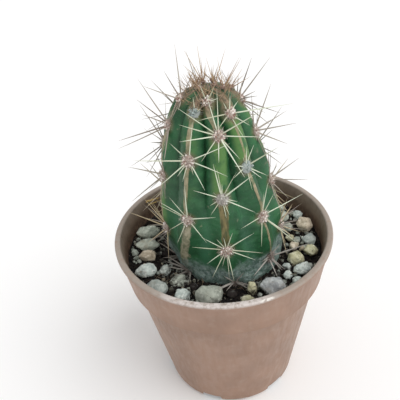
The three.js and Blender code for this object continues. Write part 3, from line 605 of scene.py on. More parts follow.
class Shapes:
    """A geometry node tree with named inputs."""

    def __init__(self, name):
        self.tree = bpy.data.node_groups.new(name, "GeometryNodeTree")
        self.sockets = {}
        self.declare("Geometry", "NodeSocketGeometry")
        self.tree.interface.new_socket("Geometry", in_out="OUTPUT", socket_type="NodeSocketGeometry")
        self.inlet = self.tree.nodes.new("NodeGroupInput")

    def declare(self, name, kind, default=None):
        socket = self.tree.interface.new_socket(name, in_out="INPUT", socket_type=kind)
        if default is not None:
            socket.default_value = default
        self.sockets[name] = socket

    def size(self, name, default):
        self.declare(name, "NodeSocketFloat", default)
        return self.inlet.outputs[name]

    def count(self, name, default):
        self.declare(name, "NodeSocketInt", default)
        return self.inlet.outputs[name]

    def add(self, kind, settings=None, inputs=None):
        return put(self.tree, kind, settings, inputs).outputs

    def math(self, operation, a, b=0.0):
        return self.add("ShaderNodeMath", {"operation": operation}, {0: a, 1: b})[0]

    def times(self, a, b):
        return self.math("MULTIPLY", a, b)

    def vector_math(self, operation, a, b):
        return self.add("ShaderNodeVectorMath", {"operation": operation}, {0: a, 1: b})[0]

    def scaled(self, vector, factor):
        return self.add("ShaderNodeVectorMath", {"operation": "SCALE"}, {0: vector, "Scale": factor})[0]

    def vector(self, x, y, z):
        return self.add("ShaderNodeCombineXYZ", None, {0: x, 1: y, 2: z})[0]

    def axes(self, vector):
        return self.add("ShaderNodeSeparateXYZ", None, {0: vector})

    def named(self, name, kind="FLOAT"):
        return self.add("GeometryNodeInputNamedAttribute", {"data_type": kind}, {"Name": name})[0]

    def position(self):
        return self.add("GeometryNodeInputPosition")[0]

    def random(self, low, high, seed, kind="FLOAT"):
        node = self.tree.nodes.new("FunctionNodeRandomValue")
        node.data_type = kind
        first = 0 if kind == "FLOAT_VECTOR" else 2
        node.inputs[first].default_value = low
        node.inputs[first + 1].default_value = high
        node.inputs["Seed"].default_value = seed
        return node.outputs[0 if kind == "FLOAT_VECTOR" else 1]

    def noise_vector(self, scale):
        """A smooth vector that wanders from place to place, from about -0.5 to 0.5."""
        colour = self.add("ShaderNodeTexNoise", None, {"Scale": scale, "Detail": 1.0})[1]
        return self.vector_math("SUBTRACT", colour, (0.5, 0.5, 0.5))

    def waver(self, wave, height):
        """A smooth offset with waves of about a length and a height in millimetres."""
        return self.scaled(self.noise_vector(1 / (wave * MM)), height * MM)

    def keep(self, geometry, name, value):
        settings = {"data_type": "FLOAT", "domain": "POINT"}
        inputs = {"Geometry": geometry, "Name": name, "Value": value}
        return self.add("GeometryNodeStoreNamedAttribute", settings, inputs)[0]

    def cone(self, sides, segments, top, bottom, depth):
        """An upright cone on the ground, closed at both ends."""
        inputs = {"Vertices": sides, "Side Segments": segments}
        inputs.update({"Radius Top": top, "Radius Bottom": bottom, "Depth": depth})
        return self.add("GeometryNodeMeshCone", {"fill_type": "NGON"}, inputs)[0]

    def moved(self, geometry, offset):
        return self.add("GeometryNodeSetPosition", None, {"Geometry": geometry, "Offset": offset})[0]

    def aimed(self, vector):
        """A rotation that turns upright things along a vector."""
        return self.add("FunctionNodeAlignRotationToVector", {"axis": "Z"}, {"Vector": vector})[0]

    def copies(self, points, shape, rotation, scale):
        inputs = {"Points": points, "Instance": shape, "Rotation": rotation, "Scale": scale}
        scattered = self.add("GeometryNodeInstanceOnPoints", None, inputs)[0]
        return self.add("GeometryNodeRealizeInstances", None, {0: scattered})[0]

    def joined(self, *parts):
        node = self.tree.nodes.new("GeometryNodeJoinGeometry")
        for part in reversed(parts):
            self.tree.links.new(part, node.inputs[0])
        return node.outputs[0]

    def end(self, geometry, material):
        """Ends the tree with plain geometry in one material."""
        real = self.add("GeometryNodeRealizeInstances", None, {0: geometry})[0]
        inputs = {"Geometry": real, "Material": material}
        made = self.add("GeometryNodeSetMaterial", None, inputs)[0]
        put(self.tree, "NodeGroupOutput", None, {0: made})

    def grow(self, obj, **values):
        """Runs the tree on an object and returns the plain mesh object."""
        modifier = obj.modifiers.new(self.tree.name, "NODES")
        modifier.node_group = self.tree
        for name, value in values.items():
            modifier[self.sockets[name.replace("_", " ").capitalize()].identifier] = value
        return baked(obj)


class Finish:
    """A material on one shader, with its patterns read in the piece's own coordinates."""

    def __init__(self, name, **sockets):
        self.material = bpy.data.materials.new(name)
        self.material.use_nodes = True
        self.tree = self.material.node_tree
        self.shader = self.tree.nodes["Principled BSDF"]
        self.place = self.add("ShaderNodeTexCoord")["Object"]
        for socket, value in sockets.items():
            self.shader.inputs[socket.replace("_", " ")].default_value = value

    def add(self, kind, settings=None, inputs=None):
        return put(self.tree, kind, settings, inputs).outputs

    def named(self, name):
        return self.add("ShaderNodeAttribute", {"attribute_name": name})["Fac"]

    def noise(self, size, detail=3.0, roughness=0.55, stretch=(1, 1, 1)):
        """Noise with features of about a size in millimetres, from 0 to 1."""
        place = self.place
        if stretch != (1, 1, 1):
            place = self.add("ShaderNodeMapping", None, {"Vector": place, "Scale": stretch})[0]
        inputs = {"Vector": place, "Scale": 1 / (size * MM), "Detail": detail, "Roughness": roughness}
        return self.add("ShaderNodeTexNoise", None, inputs)[0]

    def cells(self, size):
        """Distance from the middle of the nearest cell, for cells of about a size in millimetres."""
        inputs = {"Vector": self.place, "Scale": 1 / (size * MM)}
        return self.add("ShaderNodeTexVoronoi", None, inputs)["Distance"]

    def band(self, value, low, high, start=0.0, end=1.0):
        """A smooth step of a value between two limits."""
        inputs = {"Value": value, "From Min": low, "From Max": high, "To Min": start, "To Max": end}
        return self.add("ShaderNodeMapRange", {"interpolation_type": "SMOOTHSTEP"}, inputs)[0]

    def level(self, low, high):
        """A smooth step between two heights in millimetres."""
        height = self.add("ShaderNodeSeparateXYZ", None, {0: self.place})[2]
        return self.band(height, low * MM, high * MM)

    def math(self, operation, a, b=0.0):
        return self.add("ShaderNodeMath", {"operation": operation}, {0: a, 1: b})[0]

    def times(self, a, b):
        return self.math("MULTIPLY", a, b)

    def ragged(self, pattern, strength):
        """A pattern as a rise and fall about nothing, to fray the edge of a mark."""
        return self.times(self.math("SUBTRACT", pattern, 0.5), strength)

    def laid(self, body, mask, share, colour):
        """A colour laid over another where a mask is, up to a share."""
        return self.mix(self.times(mask, share), body, colour)

    def mix(self, factor, a, b):
        """Two colours mixed; a plain colour is a linear one."""
        node = self.tree.nodes.new("ShaderNodeMix")
        node.data_type = "RGBA"
        for index, value in ((0, factor), (6, a), (7, b)):
            if isinstance(value, bpy.types.NodeSocket):
                self.tree.links.new(value, node.inputs[index])
            else:
                node.inputs[index].default_value = (*value, 1) if index > 0 else value
        return node.outputs[2]

    def colour(self, value):
        self.tree.links.new(value, self.shader.inputs["Base Color"])

    def roughness(self, value):
        self.tree.links.new(value, self.shader.inputs["Roughness"])

    def bump(self, height, depth, normal=None):
        """Relief of a depth in millimetres, laid over an earlier relief."""
        inputs = {"Height": height, "Distance": depth * MM, "Strength": 1.0}
        if normal is not None:
            inputs["Normal"] = normal
        made = self.add("ShaderNodeBump", None, inputs)[0]
        self.tree.links.new(made, self.shader.inputs["Normal"])
        return made


# Materials

def pot_plastic(settings):
    """Thin brown moulded plastic, satin, painted darker inside as shade, with a paler lip painted as a
    highlight in patches, a pale reflection painted on the lip's front, dust and one nick.
    """
    paint = Finish("pot_plastic", Specular_IOR_Level=0.22)
    base = tuple(settings.colour)
    body = paint.mix(paint.band(paint.noise(9, 3), 0.35, 0.7), base, tuple(0.84 * c for c in base))
    dust = paint.times(paint.band(paint.noise(2.6, 5, 0.65), 0.5, 0.78), 0.22)
    body = paint.mix(dust, body, tint("b3a597"))
    # The wall inside is painted darker than the outside, as the shade within the pot.
    inside = paint.named("inside")
    shaded_inner = paint.mix(paint.noise(3.5, 4, 0.6), tint("4a3a31"), tuple(settings.shaded_inner_colour))
    dusty = paint.times(paint.level(42.5, 47.5), paint.band(paint.noise(2.2, 3), 0.2, 0.6))
    shaded_inner = paint.laid(shaded_inner, dusty, 0.65, tint("95826f"))
    body = paint.mix(inside, body, shaded_inner)
    # The lip is painted paler as a highlight along the rim, broken into patches.
    worn = paint.band(paint.noise(1.4, 4, 0.7), 0.2, 0.55, 0.35, 1.0)
    body = paint.laid(body, paint.named("lip"), worn, tuple(settings.lit_lip_colour))
    # A pale reflection is painted on the front of the lip, broken into patches.
    front_reflection = paint.times(paint.named("lip_reflection"), paint.band(paint.noise(1.1, 4, 0.7), 0.3, 0.6))
    body = paint.mix(front_reflection, body, tint("d2cac6"))
    soiled = paint.times(inside, paint.level(45.5, 40.5))
    speckle = paint.band(paint.noise(1.1, 4, 0.7), 0.42, 0.62)
    body = paint.laid(body, soiled, speckle, tint("241c17"))
    nick = paint.times(paint.named("nick"), paint.band(paint.noise(0.6, 3), 0.42, 0.52))
    body = paint.mix(nick, body, tint("e8e4dd"))
    paint.colour(body)
    scuffs = paint.noise(1.2, 4, 0.6, (1, 1, 0.15))
    paint.roughness(paint.band(scuffs, 0.3, 0.8, 0.38, 0.6))
    relief = paint.bump(paint.noise(3.5, 2), 0.05)
    paint.bump(paint.noise(0.35, 2), 0.008, relief)
    return paint.material


def peat():
    """Nearly black peat with brown fibre and pale grit in it."""
    paint = Finish("peat", Roughness=0.95, Specular_IOR_Level=0.2)
    body = paint.mix(paint.band(paint.noise(1.3, 4, 0.65), 0.4, 0.66), tint("141215"), tint("2e2823"))
    body = paint.mix(paint.band(paint.noise(5, 2), 0.52, 0.72), body, tint("1d1a1b"))
    grit = paint.band(paint.cells(0.8), 0.16, 0.1)
    rare = paint.band(paint.noise(0.9, 1), 0.6, 0.66)
    body = paint.laid(body, grit, rare, tint("9b9384"))
    paint.colour(body)
    relief = paint.bump(paint.noise(0.9, 5, 0.7), 0.35)
    paint.bump(paint.noise(0.25, 3), 0.08, relief)
    return paint.material


def crumb_peat():
    """Loose crumbs of peat, each a little browner or blacker than its neighbour, with some pale grit."""
    paint = Finish("crumb_peat", Roughness=0.96, Specular_IOR_Level=0.2)
    shade = paint.named("shade")
    body = paint.mix(shade, tint("131115"), tint("373029"))
    body = paint.mix(paint.band(paint.noise(0.5, 3), 0.45, 0.7), body, tint("1c1819"))
    body = paint.mix(paint.band(shade, 0.925, 0.94), body, tint("8f8d80"))
    paint.colour(body)
    paint.bump(paint.noise(0.3, 4, 0.7), 0.12)
    return paint.material


def dry_root():
    """Dry roots and peat fibre."""
    paint = Finish("dry_root", Roughness=0.85, Specular_IOR_Level=0.3)
    paint.colour(paint.mix(paint.named("shade"), tint("2a2320"), tint("83715d")))
    return paint.material


# Each stone slot's plain colour, its dark one and its pale one
STONE_COLOURS = {
    "stone_white": ("dbe4dd", "b1bdb9", "eef3ed"),
    "stone_grey": ("d2d9ca", "abb2a5", "e4e9dc"),
    "stone_buff": ("d8cbb5", "aca08b", "e6dccb"),
    "stone_yellow": ("cecba9", "a7a482", "e4e2c9"),
    "stone_violet": ("b7bbbb", "94979a", "d2d5d5"),
}

# Colours of the small chips, each with the draw from which it is used
CHIP_COLOURS = [
    (0, "b2bab1"), (0.25, "b4b8aa"), (0.4, "cfd5cc"), (0.5, "b5a993"), (0.6, "57504a"), (0.8, "35302d"),
]


def weathered(paint, plain, dark, pale):
    """Cloudy stone with dark pits, and darker low on it, partly soil caught there and partly painted shade.
    """
    body = paint.mix(paint.band(paint.noise(2.4, 4, 0.6), 0.38, 0.66), plain, dark)
    body = paint.mix(paint.band(paint.noise(1.1, 4, 0.65), 0.5, 0.7), body, pale)
    rust = paint.times(paint.band(paint.noise(3.1, 3), 0.56, 0.74), 0.35)
    body = paint.mix(rust, body, tint("a08a66"))
    pits = paint.band(paint.noise(0.5, 4, 0.7), 0.4, 0.3)
    body = paint.laid(body, pits, 0.8, tint("57524a"))
    # Darker low on each stone: soil caught there, and painted shade beneath it.
    low_soil_and_shade = paint.times(paint.level(42.4, 40.8), paint.band(paint.noise(0.9, 4, 0.7), 0.34, 0.6))
    body = paint.mix(low_soil_and_shade, body, tint("302823"))
    body = paint.mix(paint.named("dull"), body, tint("5c5a55"))
    # Listed stones are darkened with soil colour; for some this is painted shade where they lie in shadow.
    soiled = paint.times(paint.named("soiled"), paint.band(paint.noise(1.2, 4, 0.7), 0.2, 0.5, 0.6, 1.0))
    body = paint.mix(soiled, body, tint("2a2422"))
    paint.colour(body)
    relief = paint.bump(paint.noise(0.9, 5, 0.65), 0.2)
    paint.bump(paint.noise(0.22, 3, 0.7), 0.05, relief)


def gravel(slot):
    """Rough pale stone in the colour of its slot."""
    paint = Finish(slot + "_rough", Roughness=0.85, Specular_IOR_Level=0.3)
    weathered(paint, *(tint(colour) for colour in STONE_COLOURS[slot]))
    return paint.material


def mixed_chips():
    """Small chips, each in the colour of one or another of the stones, and a few dark ones."""
    paint = Finish("mixed_chips", Roughness=0.85, Specular_IOR_Level=0.3)
    shade = paint.named("shade")
    plain = tint(CHIP_COLOURS[0][1])
    for start, colour in CHIP_COLOURS[1:]:
        plain = paint.mix(paint.band(shade, start, start + 0.02), plain, tint(colour))
    weathered(paint, plain, tint("848b80"), tint("c9cec4"))
    return paint.material


def green_skin(settings):
    """Waxy green skin with dry crests, yellow-green ridges, furrows painted dark as shade higher up and pale
    bluish lower down as waxy bloom and painted sheen, and a corky foot.
    """
    paint = Finish("green_skin", Specular_IOR_Level=0.42, Subsurface_Weight=0.05)
    paint.shader.inputs["Subsurface Radius"].default_value = (0.0012, 0.003, 0.0008)
    paint.shader.inputs["Subsurface Scale"].default_value = 0.5
    height, crest, near = paint.named("height"), paint.named("crest"), paint.named("areole")
    green, deep, young = tuple(settings.colour), tuple(settings.deep_colour), tuple(settings.young_colour)
    body = paint.mix(paint.band(paint.noise(7, 3), 0.36, 0.66), green, deep)
    light = paint.times(paint.band(paint.noise(4, 4, 0.6), 0.48, 0.72), 0.45)
    body = paint.mix(light, body, tint("3d7a4c"))
    upper = paint.times(paint.band(height, 18, 40), paint.band(paint.noise(5, 2), 0.44, 0.66))
    upper = paint.times(upper, paint.band(crest, 0.2, 0.75))
    fresh = paint.times(paint.named("fresh"), paint.band(paint.noise(3, 3), 0.25, 0.5))
    yellowed = paint.math("MAXIMUM", paint.times(upper, 0.55), paint.times(fresh, 0.85))
    body = paint.mix(yellowed, body, young)
    # Pale bluish green in the lower furrows: waxy bloom, and a painted sheen.
    bloom_and_sheen = paint.times(paint.band(crest, 0.45, 0.05), paint.band(height, 30, 10))
    body = paint.laid(body, bloom_and_sheen, 0.16, tint("5c8f7c"))
    shaded = paint.times(paint.band(crest, 0.2, 0.0), paint.band(height, 16, 34))
    body = paint.laid(body, shaded, 0.5, tint("10291a"))
    dots = paint.band(paint.cells(0.6), 0.2, 0.1)
    body = paint.laid(body, dots, 0.2, tint("6f9f78"))
    ragged = paint.ragged(paint.noise(1.3, 3), 0.9)
    streaks = paint.noise(0.8, 3, 0.6, (1, 1, 0.2))
    dry = paint.mix(paint.band(streaks, 0.35, 0.65), tint("8f8466"), tuple(settings.crest_colour))
    tan = paint.band(paint.math("ADD", paint.named("tan"), ragged), 0.4, 0.8)
    worn = paint.band(paint.noise(2.2, 3, 0.6), 0.3, 0.55, 0.35, 0.85)
    body = paint.laid(body, tan, worn, dry)
    rusty = paint.mix(paint.band(streaks, 0.4, 0.62), tint("4f4a2b"), tint("84734c"))
    rust = paint.band(paint.math("ADD", paint.named("rust"), ragged), 0.3, 0.8)
    body = paint.laid(body, rust, 0.85, rusty)
    corky = paint.mix(paint.band(paint.noise(1.4, 4, 0.6), 0.35, 0.65), tint("77765f"), tint("b0a58e"))
    blotched = paint.ragged(paint.noise(2.2, 4, 0.6), 2.6)
    cork = paint.band(paint.math("ADD", paint.named("cork"), blotched), 0.3, 0.9)
    body = paint.laid(body, cork, 0.8, corky)
    halo = paint.times(paint.band(near, 2.7, 1.4), 0.6)
    body = paint.mix(halo, body, tint("7a6f52"))
    ragged_top = paint.math("ADD", height, paint.times(paint.noise(1.6, 3), 3.4))
    tip = paint.times(paint.band(ragged_top, 43.6, 46.2), paint.band(crest, 0.2, 0.65, 0.2, 1.0))
    browned = paint.mix(paint.band(streaks, 0.35, 0.65), tint("554d38"), tint("8f7560"))
    body = paint.laid(body, tip, 0.9, browned)
    wander = paint.ragged(paint.noise(3.2, 4, 0.65), 9.0)
    foot = paint.band(paint.math("ADD", height, wander), 8.2, 4.2)
    patchy = paint.times(paint.named("scurf"), paint.band(paint.noise(1.8, 4, 0.65), 0.3, 0.52))
    foot = paint.math("MAXIMUM", foot, patchy)
    scurf = paint.mix(paint.band(paint.noise(1.5, 4, 0.7), 0.36, 0.64), tint("586f68"), tint("a1b5b1"))
    scurf = paint.mix(paint.band(paint.noise(0.8, 3, 0.7), 0.56, 0.7), scurf, tint("adbab4"))
    body = paint.laid(body, foot, 0.85, scurf)
    paint.colour(body)
    paint.roughness(paint.band(paint.noise(1.5, 3), 0.3, 0.75, 0.4, 0.58))
    relief = paint.bump(paint.noise(2.4, 2), 0.12)
    relief = paint.bump(paint.noise(0.7, 3, 0.6, (1, 1, 0.35)), 0.035, relief)
    relief = paint.bump(paint.times(paint.math("MAXIMUM", tan, cork), streaks), 0.22, relief)
    paint.bump(paint.times(foot, paint.noise(0.6, 4, 0.7)), 0.3, relief)
    return paint.material


def spine_horn(settings):
    """Horny spines: painted pale where they face the front and darker at the sides as painted shade, brown at
    the root and grey-brown on old areoles.
    """
    paint = Finish("spine_horn", Roughness=0.5, Specular_IOR_Level=0.35)
    along, age, shade = paint.named("along"), paint.named("age"), paint.named("shade")
    # Spines facing the front are painted pale as lit ones, and those at the sides and behind darker as
    # painted shade.
    pale = paint.mix(paint.math("POWER", shade, 2.0), tuple(settings.spine_colour), tint("bdc0a6"))
    shaded_sides = paint.mix(shade, tuple(settings.shaded_side_colour), tint("857a6f"))
    shaded_sides = paint.mix(paint.band(age, 0.5, 0.66), shaded_sides, paint.mix(shade, tint("dfcdab"), tint("bba98a")))
    body = paint.mix(paint.named("front"), shaded_sides, pale)
    dead = paint.mix(shade, tint("b7b0ab"), tint("8f8783"))
    body = paint.laid(body, paint.band(age, 0.8, 0.88), 0.9, dead)
    young = paint.mix(shade, tint("9a7763"), tint("c6ac85"))
    body = paint.laid(body, paint.band(age, 0.03, 0.0), 0.85, young)
    root = paint.band(along, 0.24, 0.08)
    body = paint.laid(body, root, 0.45, tint("8f7a6a"))
    tip = paint.band(along, 0.85, 1.0)
    body = paint.laid(body, tip, 0.3, tint("8b7c6b"))
    paint.colour(body)
    return paint.material


def spine_knob():
    """Swollen spine bases: pinkish brown, with a few bluish grey areoles."""
    paint = Finish("spine_knob", Roughness=0.6, Specular_IOR_Level=0.35)
    shade, grey = paint.named("shade"), paint.named("grey")
    body = paint.mix(paint.band(shade, 0.1, 0.6), tint("96796d"), tint("d9c8bf"))
    body = paint.mix(paint.band(shade, 0.62, 0.7), body, tint("ece4de"))
    body = paint.mix(grey, body, paint.mix(shade, tint("76827f"), tint("b9c6c3")))
    body = paint.laid(body, paint.band(paint.named("age"), 0.8, 0.92), 0.8, tint("5d544e"))
    paint.colour(body)
    return paint.material


def areole_wool():
    """Cream-grey felt, pinkish in places and bluish on a few areoles."""
    paint = Finish("areole_wool", Roughness=0.95, Specular_IOR_Level=0.1, Sheen_Weight=0.15)
    shade, age, grey = paint.named("shade"), paint.named("age"), paint.named("grey")
    felt = paint.mix(shade, tint("83716a"), tint("bfb2a6"))
    strands = paint.mix(paint.band(shade, 0.7, 0.85), tint("eae4da"), tint("dcc0b8"))
    body = paint.mix(paint.band(paint.named("along"), 0.1, 0.5), felt, strands)
    body = paint.laid(body, grey, 0.75, tint("a3b1af"))
    body = paint.laid(body, paint.band(age, 0.75, 0.92), 0.75, tint("68605a"))
    body = paint.laid(body, paint.band(age, 0.03, 0.0), 0.6, tint("96786a"))
    paint.colour(body)
    return paint.material


def pale_ground(settings):
    """A pale floor, hardly clouded."""
    paint = Finish("pale_ground", Roughness=0.8, Specular_IOR_Level=0.1)
    base = tuple(settings.floor_colour)
    paint.colour(paint.mix(paint.noise(60, 2), base, tuple(0.985 * c for c in base)))
    return paint.material


# Pot

# Azimuths between which the lip's outer edge is nicked
NICK = (16, 22)

# Azimuth at which a pale reflection is painted on the lip, and how far to either side
LIP_REFLECTION = (-6, 34)

# How deep the nick is, and how far below the rim it begins and ends
NICK_DEPTH = 0.5
NICK_BELOW = (0.36, 0.02)

# How far below the rim the lip's paler colour, a painted highlight, begins, and where it is full
LIP_HIGHLIGHT_BELOW = (0.45 * LIP_HEIGHT, 0.15)

# Rounding of the collar's foot, and the step below it as (radius, height)
FOOT_ROUND = 0.25
STEP = [
    (BODY_TOP_RADIUS - 0.05, BODY_TOP - 0.3),
    (BODY_TOP_RADIUS + 0.15, BODY_TOP),
    (COLLAR_FOOT_RADIUS - 0.35, COLLAR_FOOT - 0.15),
]
FLOOR_CORNER = 0.6

# How far below the floor's top and into the wall a point still counts as inside
INSIDE_MARGINS = (0.01, 0.3 * WALL)


def inner_radius(height):
    """Radius of the wall's inner face where the wall has its full width."""
    if height >= COLLAR_FOOT:
        share = (height - COLLAR_FOOT) / COLLAR_HEIGHT
        return COLLAR_FOOT_RADIUS + (RIM_RADIUS - LIP_OVERHANG - COLLAR_FOOT_RADIUS) * share - WALL
    return BASE_RADIUS + (BODY_TOP_RADIUS - BASE_RADIUS) * height / BODY_TOP - WALL


def inside_wall(height):
    """Radius of the wall's inner face, which thins towards the lip."""
    share = min(max((height - THINNED_FROM) / (POT_HEIGHT - THINNED_FROM), 0), 1)
    return inner_radius(height) + (WALL + LIP_OVERHANG - LIP_WIDTH) * share


def arc(centre_radius, centre_height, size, start, end, steps=5):
    """Points of a rounded corner, from one angle to another, in degrees from straight out."""
    points = []
    for i in range(steps + 1):
        angle = math.radians(start + (end - start) * i / steps)
        points.append((centre_radius + size * math.cos(angle), centre_height + size * math.sin(angle)))
    return points


def pot_profile():
    """The wall's section as radius and height, from the middle of the underside round to the floor inside."""
    inside_top = inside_wall(POT_HEIGHT)
    profile = [(0, 0), (0.5 * BASE_RADIUS, 0)]
    profile += arc(BASE_RADIUS - BASE_ROUND, BASE_ROUND, BASE_ROUND, -90, 0, 8)
    profile += STEP
    profile += arc(COLLAR_FOOT_RADIUS - FOOT_ROUND, COLLAR_FOOT + FOOT_ROUND, FOOT_ROUND, -60, 5, 4)
    profile += [(RIM_RADIUS - LIP_OVERHANG, POT_HEIGHT - LIP_HEIGHT)]
    profile += arc(RIM_RADIUS - LIP_ROUND, POT_HEIGHT - LIP_HEIGHT + 2 * LIP_ROUND, LIP_ROUND, -75, 0)
    profile += arc(RIM_RADIUS - LIP_ROUND, POT_HEIGHT - LIP_ROUND, LIP_ROUND, 0, 90)
    profile += arc(inside_top + LIP_ROUND, POT_HEIGHT - LIP_ROUND, LIP_ROUND, 90, 180)
    profile += [(inner_radius(height), height) for height in (THINNED_FROM, COLLAR_FOOT, BODY_TOP)]
    profile += [(inner_radius(FLOOR) - FLOOR_CORNER, FLOOR), (0, FLOOR)]
    return profile


def turning_tree(material):
    """Turns an outline of radius and height about the upright axis into a closed body."""
    shapes = Shapes("turned body")
    sides = shapes.count("Sides", 180)
    outline = shapes.inlet.outputs["Geometry"]
    count = shapes.add("GeometryNodeAttributeDomainSize", {"component": "MESH"}, {0: outline})[0]
    around = shapes.math("ADD", sides, 1.0)
    grid = shapes.add("GeometryNodeMeshGrid", None, {"Vertices X": around, "Vertices Y": count})[0]
    index = shapes.add("GeometryNodeInputIndex")[0]
    column = shapes.math("FLOOR", shapes.math("DIVIDE", index, count))
    row = shapes.math("SUBTRACT", index, shapes.times(column, count))
    sampled = shapes.add("GeometryNodeSampleIndex", {"data_type": "FLOAT_VECTOR"}, {
        "Geometry": outline, "Value": shapes.position(), "Index": row})[0]
    angle = shapes.times(shapes.math("DIVIDE", column, sides), 2 * math.pi)
    radius, _, height = shapes.axes(sampled)
    x = shapes.times(radius, shapes.math("SINE", angle))
    y = shapes.times(radius, shapes.times(shapes.math("COSINE", angle), -1.0))
    body = shapes.add("GeometryNodeSetPosition", None, {
        "Geometry": grid, "Position": shapes.vector(x, y, height)})[0]
    body = shapes.add("GeometryNodeMergeByDistance", None, {"Geometry": body, "Distance": DOUBLED})[0]
    shapes.end(body, material)
    return shapes


def drain_cutter(index):
    """A round-ended slot where the floor meets the wall, its long side along the pot's edge."""
    half = (DRAIN_LENGTH - DRAIN_WIDTH) / 2
    radius = DRAIN_WIDTH / 2
    steps = 12
    ring = []
    for end, start in ((half, 0), (-half, 180)):
        for i in range(steps + 1):
            angle = math.radians(start + 180 * i / steps)
            ring.append((radius * math.cos(angle), end + radius * math.sin(angle)))
    low, high = -1, DRAIN_HEIGHT
    azimuth = math.radians(DRAIN_AZIMUTH + 360 * index / DRAIN_SLOTS)
    turn = Matrix.Rotation(azimuth - math.pi / 2, 3, "Z")
    centre = Vector((*polar(DRAIN_CIRCLE, azimuth), 0))
    points = [centre + turn @ Vector((x, y, z)) for z in (low, high) for x, y in ring]
    count = len(ring)
    faces = [tuple(range(count))[::-1], tuple(range(count, 2 * count))]
    for i in range(count):
        after = (i + 1) % count
        faces.append((i, after, count + after, count + i))
    cutter = mesh_object("drain_cutter", points, faces)
    outward(cutter)
    return cutter


def cut(obj, cutters):
    """Cuts the cutters out of a body and removes them."""
    for cutter in cutters:
        modifier = obj.modifiers.new("cut", "BOOLEAN")
        modifier.operation = "DIFFERENCE"
        modifier.solver = "EXACT"
        modifier.object = cutter
    result = baked(obj)
    for cutter in cutters:
        bpy.data.objects.remove(cutter)
    return result


def wall_marks(point):
    """What a point of the pot is marked as: inside, lip, painted reflection on the lip's front and nick, each
    from 0 to 1.
    """
    radius, height = math.hypot(*point.xy) / MM, point.z / MM
    azimuth = math.degrees(math.atan2(point.x, -point.y))
    inside = height > FLOOR - INSIDE_MARGINS[0] and radius < inside_wall(height) + INSIDE_MARGINS[1]
    lip = float(smoothstep(height, *(POT_HEIGHT - below for below in LIP_HIGHLIGHT_BELOW)))
    near = 1 - float(smoothstep(abs(azimuth - LIP_REFLECTION[0]), 0.5 * LIP_REFLECTION[1], LIP_REFLECTION[1]))
    start, end = (POT_HEIGHT - below for below in NICK_BELOW)
    edge = start < height < end and radius > RIM_RADIUS - NICK_DEPTH
    nick = edge and NICK[0] <= azimuth <= NICK[1]
    return {"inside": float(inside), "lip": lip, "lip_reflection": lip * near, "nick": float(nick)}


def make_pot(settings):
    points = [(radius, 0, height) for radius, height in pot_profile()]
    edges = [(i, i + 1) for i in range(len(points) - 1)]
    outline = mesh_object("moulded_pot", points, edges=edges)
    pot = turning_tree(pot_plastic(settings)).grow(outline, sides=settings.sides)
    outward(pot)
    pot = cut(pot, [drain_cutter(i) for i in range(DRAIN_SLOTS)])
    rows = [wall_marks(vertex.co) for vertex in pot.data.vertices]
    for name in rows[0]:
        store(pot, name, [row[name] for row in rows])
    smooth(pot, 35)
    finished(pot, "pot", "pot")


# Soil

# Swells and lumps of the peat's top, as waves to a millimetre and their height
SWELLS = (0.16, 0.35)
LUMPS = (0.55, 0.42)
SUNK = 0.35

# How far the peat rises towards the stem, and over which distances from its foot
STEM_HEAP = 0.5
STEM_HEAPED = (19, 13)

# Columns and rings of the peat's mesh, how its rings crowd towards the wall, how far it stays off the wall,
# and how far below its edge the wall is measured
PEAT_COLUMNS = 240
PEAT_RINGS = 64
RING_POWER = 0.8
PEAT_OFF_WALL = 0.08
EDGE_DROP = 0.6

# Where bits may be scattered: distances from the wall and from the stem's foot, and depth below the level
OPEN_OFF_WALL = 0.5
OPEN_FROM_STEM = 11.5
OPEN_DEPTH = 2.5

# How far scattered bits may rise over the soil, and how far they stay off the wall
LOOSE_HEIGHT = 1.1
LOOSE_OFF_WALL = 0.15

# Smallest and largest scale of a crumb and of a fibre
CRUMB_SIZES = ((0.12, 0.12, 0.1), (0.62, 0.55, 0.42))
FIBRE_SIZES = ((0.05, 0.05, 1.5), (0.11, 0.11, 5.5))
CRUMB_SEED = 7
FIBRE_SEED = 23

# How scattered bits waver, as (wave, height)
SCATTER_WAVER = (0.9, 0.35)


def heap_height(x, y):
    """How far the soil is heaped up towards the wall, at both sides of the pot."""
    distance = max(math.hypot(x, y), 1)
    return SOIL_HEAP * (x / distance) ** 2 * float(smoothstep(distance, *HEAPED_FROM))


def soil_height(x, y):
    """Uneven top of the peat, heaped at the sides and a little towards the stem."""
    place = Vector((x, y, 0))
    broad = noise.noise(place * SWELLS[0])
    lumps = noise.fractal(place * LUMPS[0], *FRACTAL, 4)
    heap = heap_height(x, y) + STEM_HEAP * float(smoothstep(math.hypot(x - STEM_FOOT, y), *STEM_HEAPED))
    return SOIL_LEVEL - SUNK + heap + SWELLS[1] * broad + LUMPS[1] * lumps


def soil_mesh():
    """Points and faces of the peat, from the middle of its top round to the pot's floor."""
    columns, rings = PEAT_COLUMNS, PEAT_RINGS
    turns = [2 * math.pi * i / columns for i in range(columns)]
    points = [(0, 0, soil_height(0, 0))]
    for ring in range(1, rings + 1):
        for turn in turns:
            edge = inner_radius(SOIL_LEVEL + SOIL_HEAP * math.sin(turn) ** 2 - EDGE_DROP) - PEAT_OFF_WALL
            x, y = polar(edge * (ring / rings) ** RING_POWER, turn)
            points.append((x, y, soil_height(x, y)))
    below = [(inner_radius(height) - CLEARANCE, height) for height in (BODY_TOP, FLOOR + CLEARANCE)]
    for radius, height in below:
        points += [(*polar(radius, turn), height) for turn in turns]
    points.append((0, 0, FLOOR + CLEARANCE))
    faces = [(0, 1 + i, 1 + (i + 1) % columns) for i in range(columns)]
    for ring in range(rings + len(below) - 1):
        first = 1 + ring * columns
        for i in range(columns):
            after = (i + 1) % columns
            faces.append((first + i, first + columns + i, first + columns + after, first + after))
    last = 1 + (rings + len(below) - 1) * columns
    faces += [(last + (i + 1) % columns, last + i, len(points) - 1) for i in range(columns)]
    return points, faces


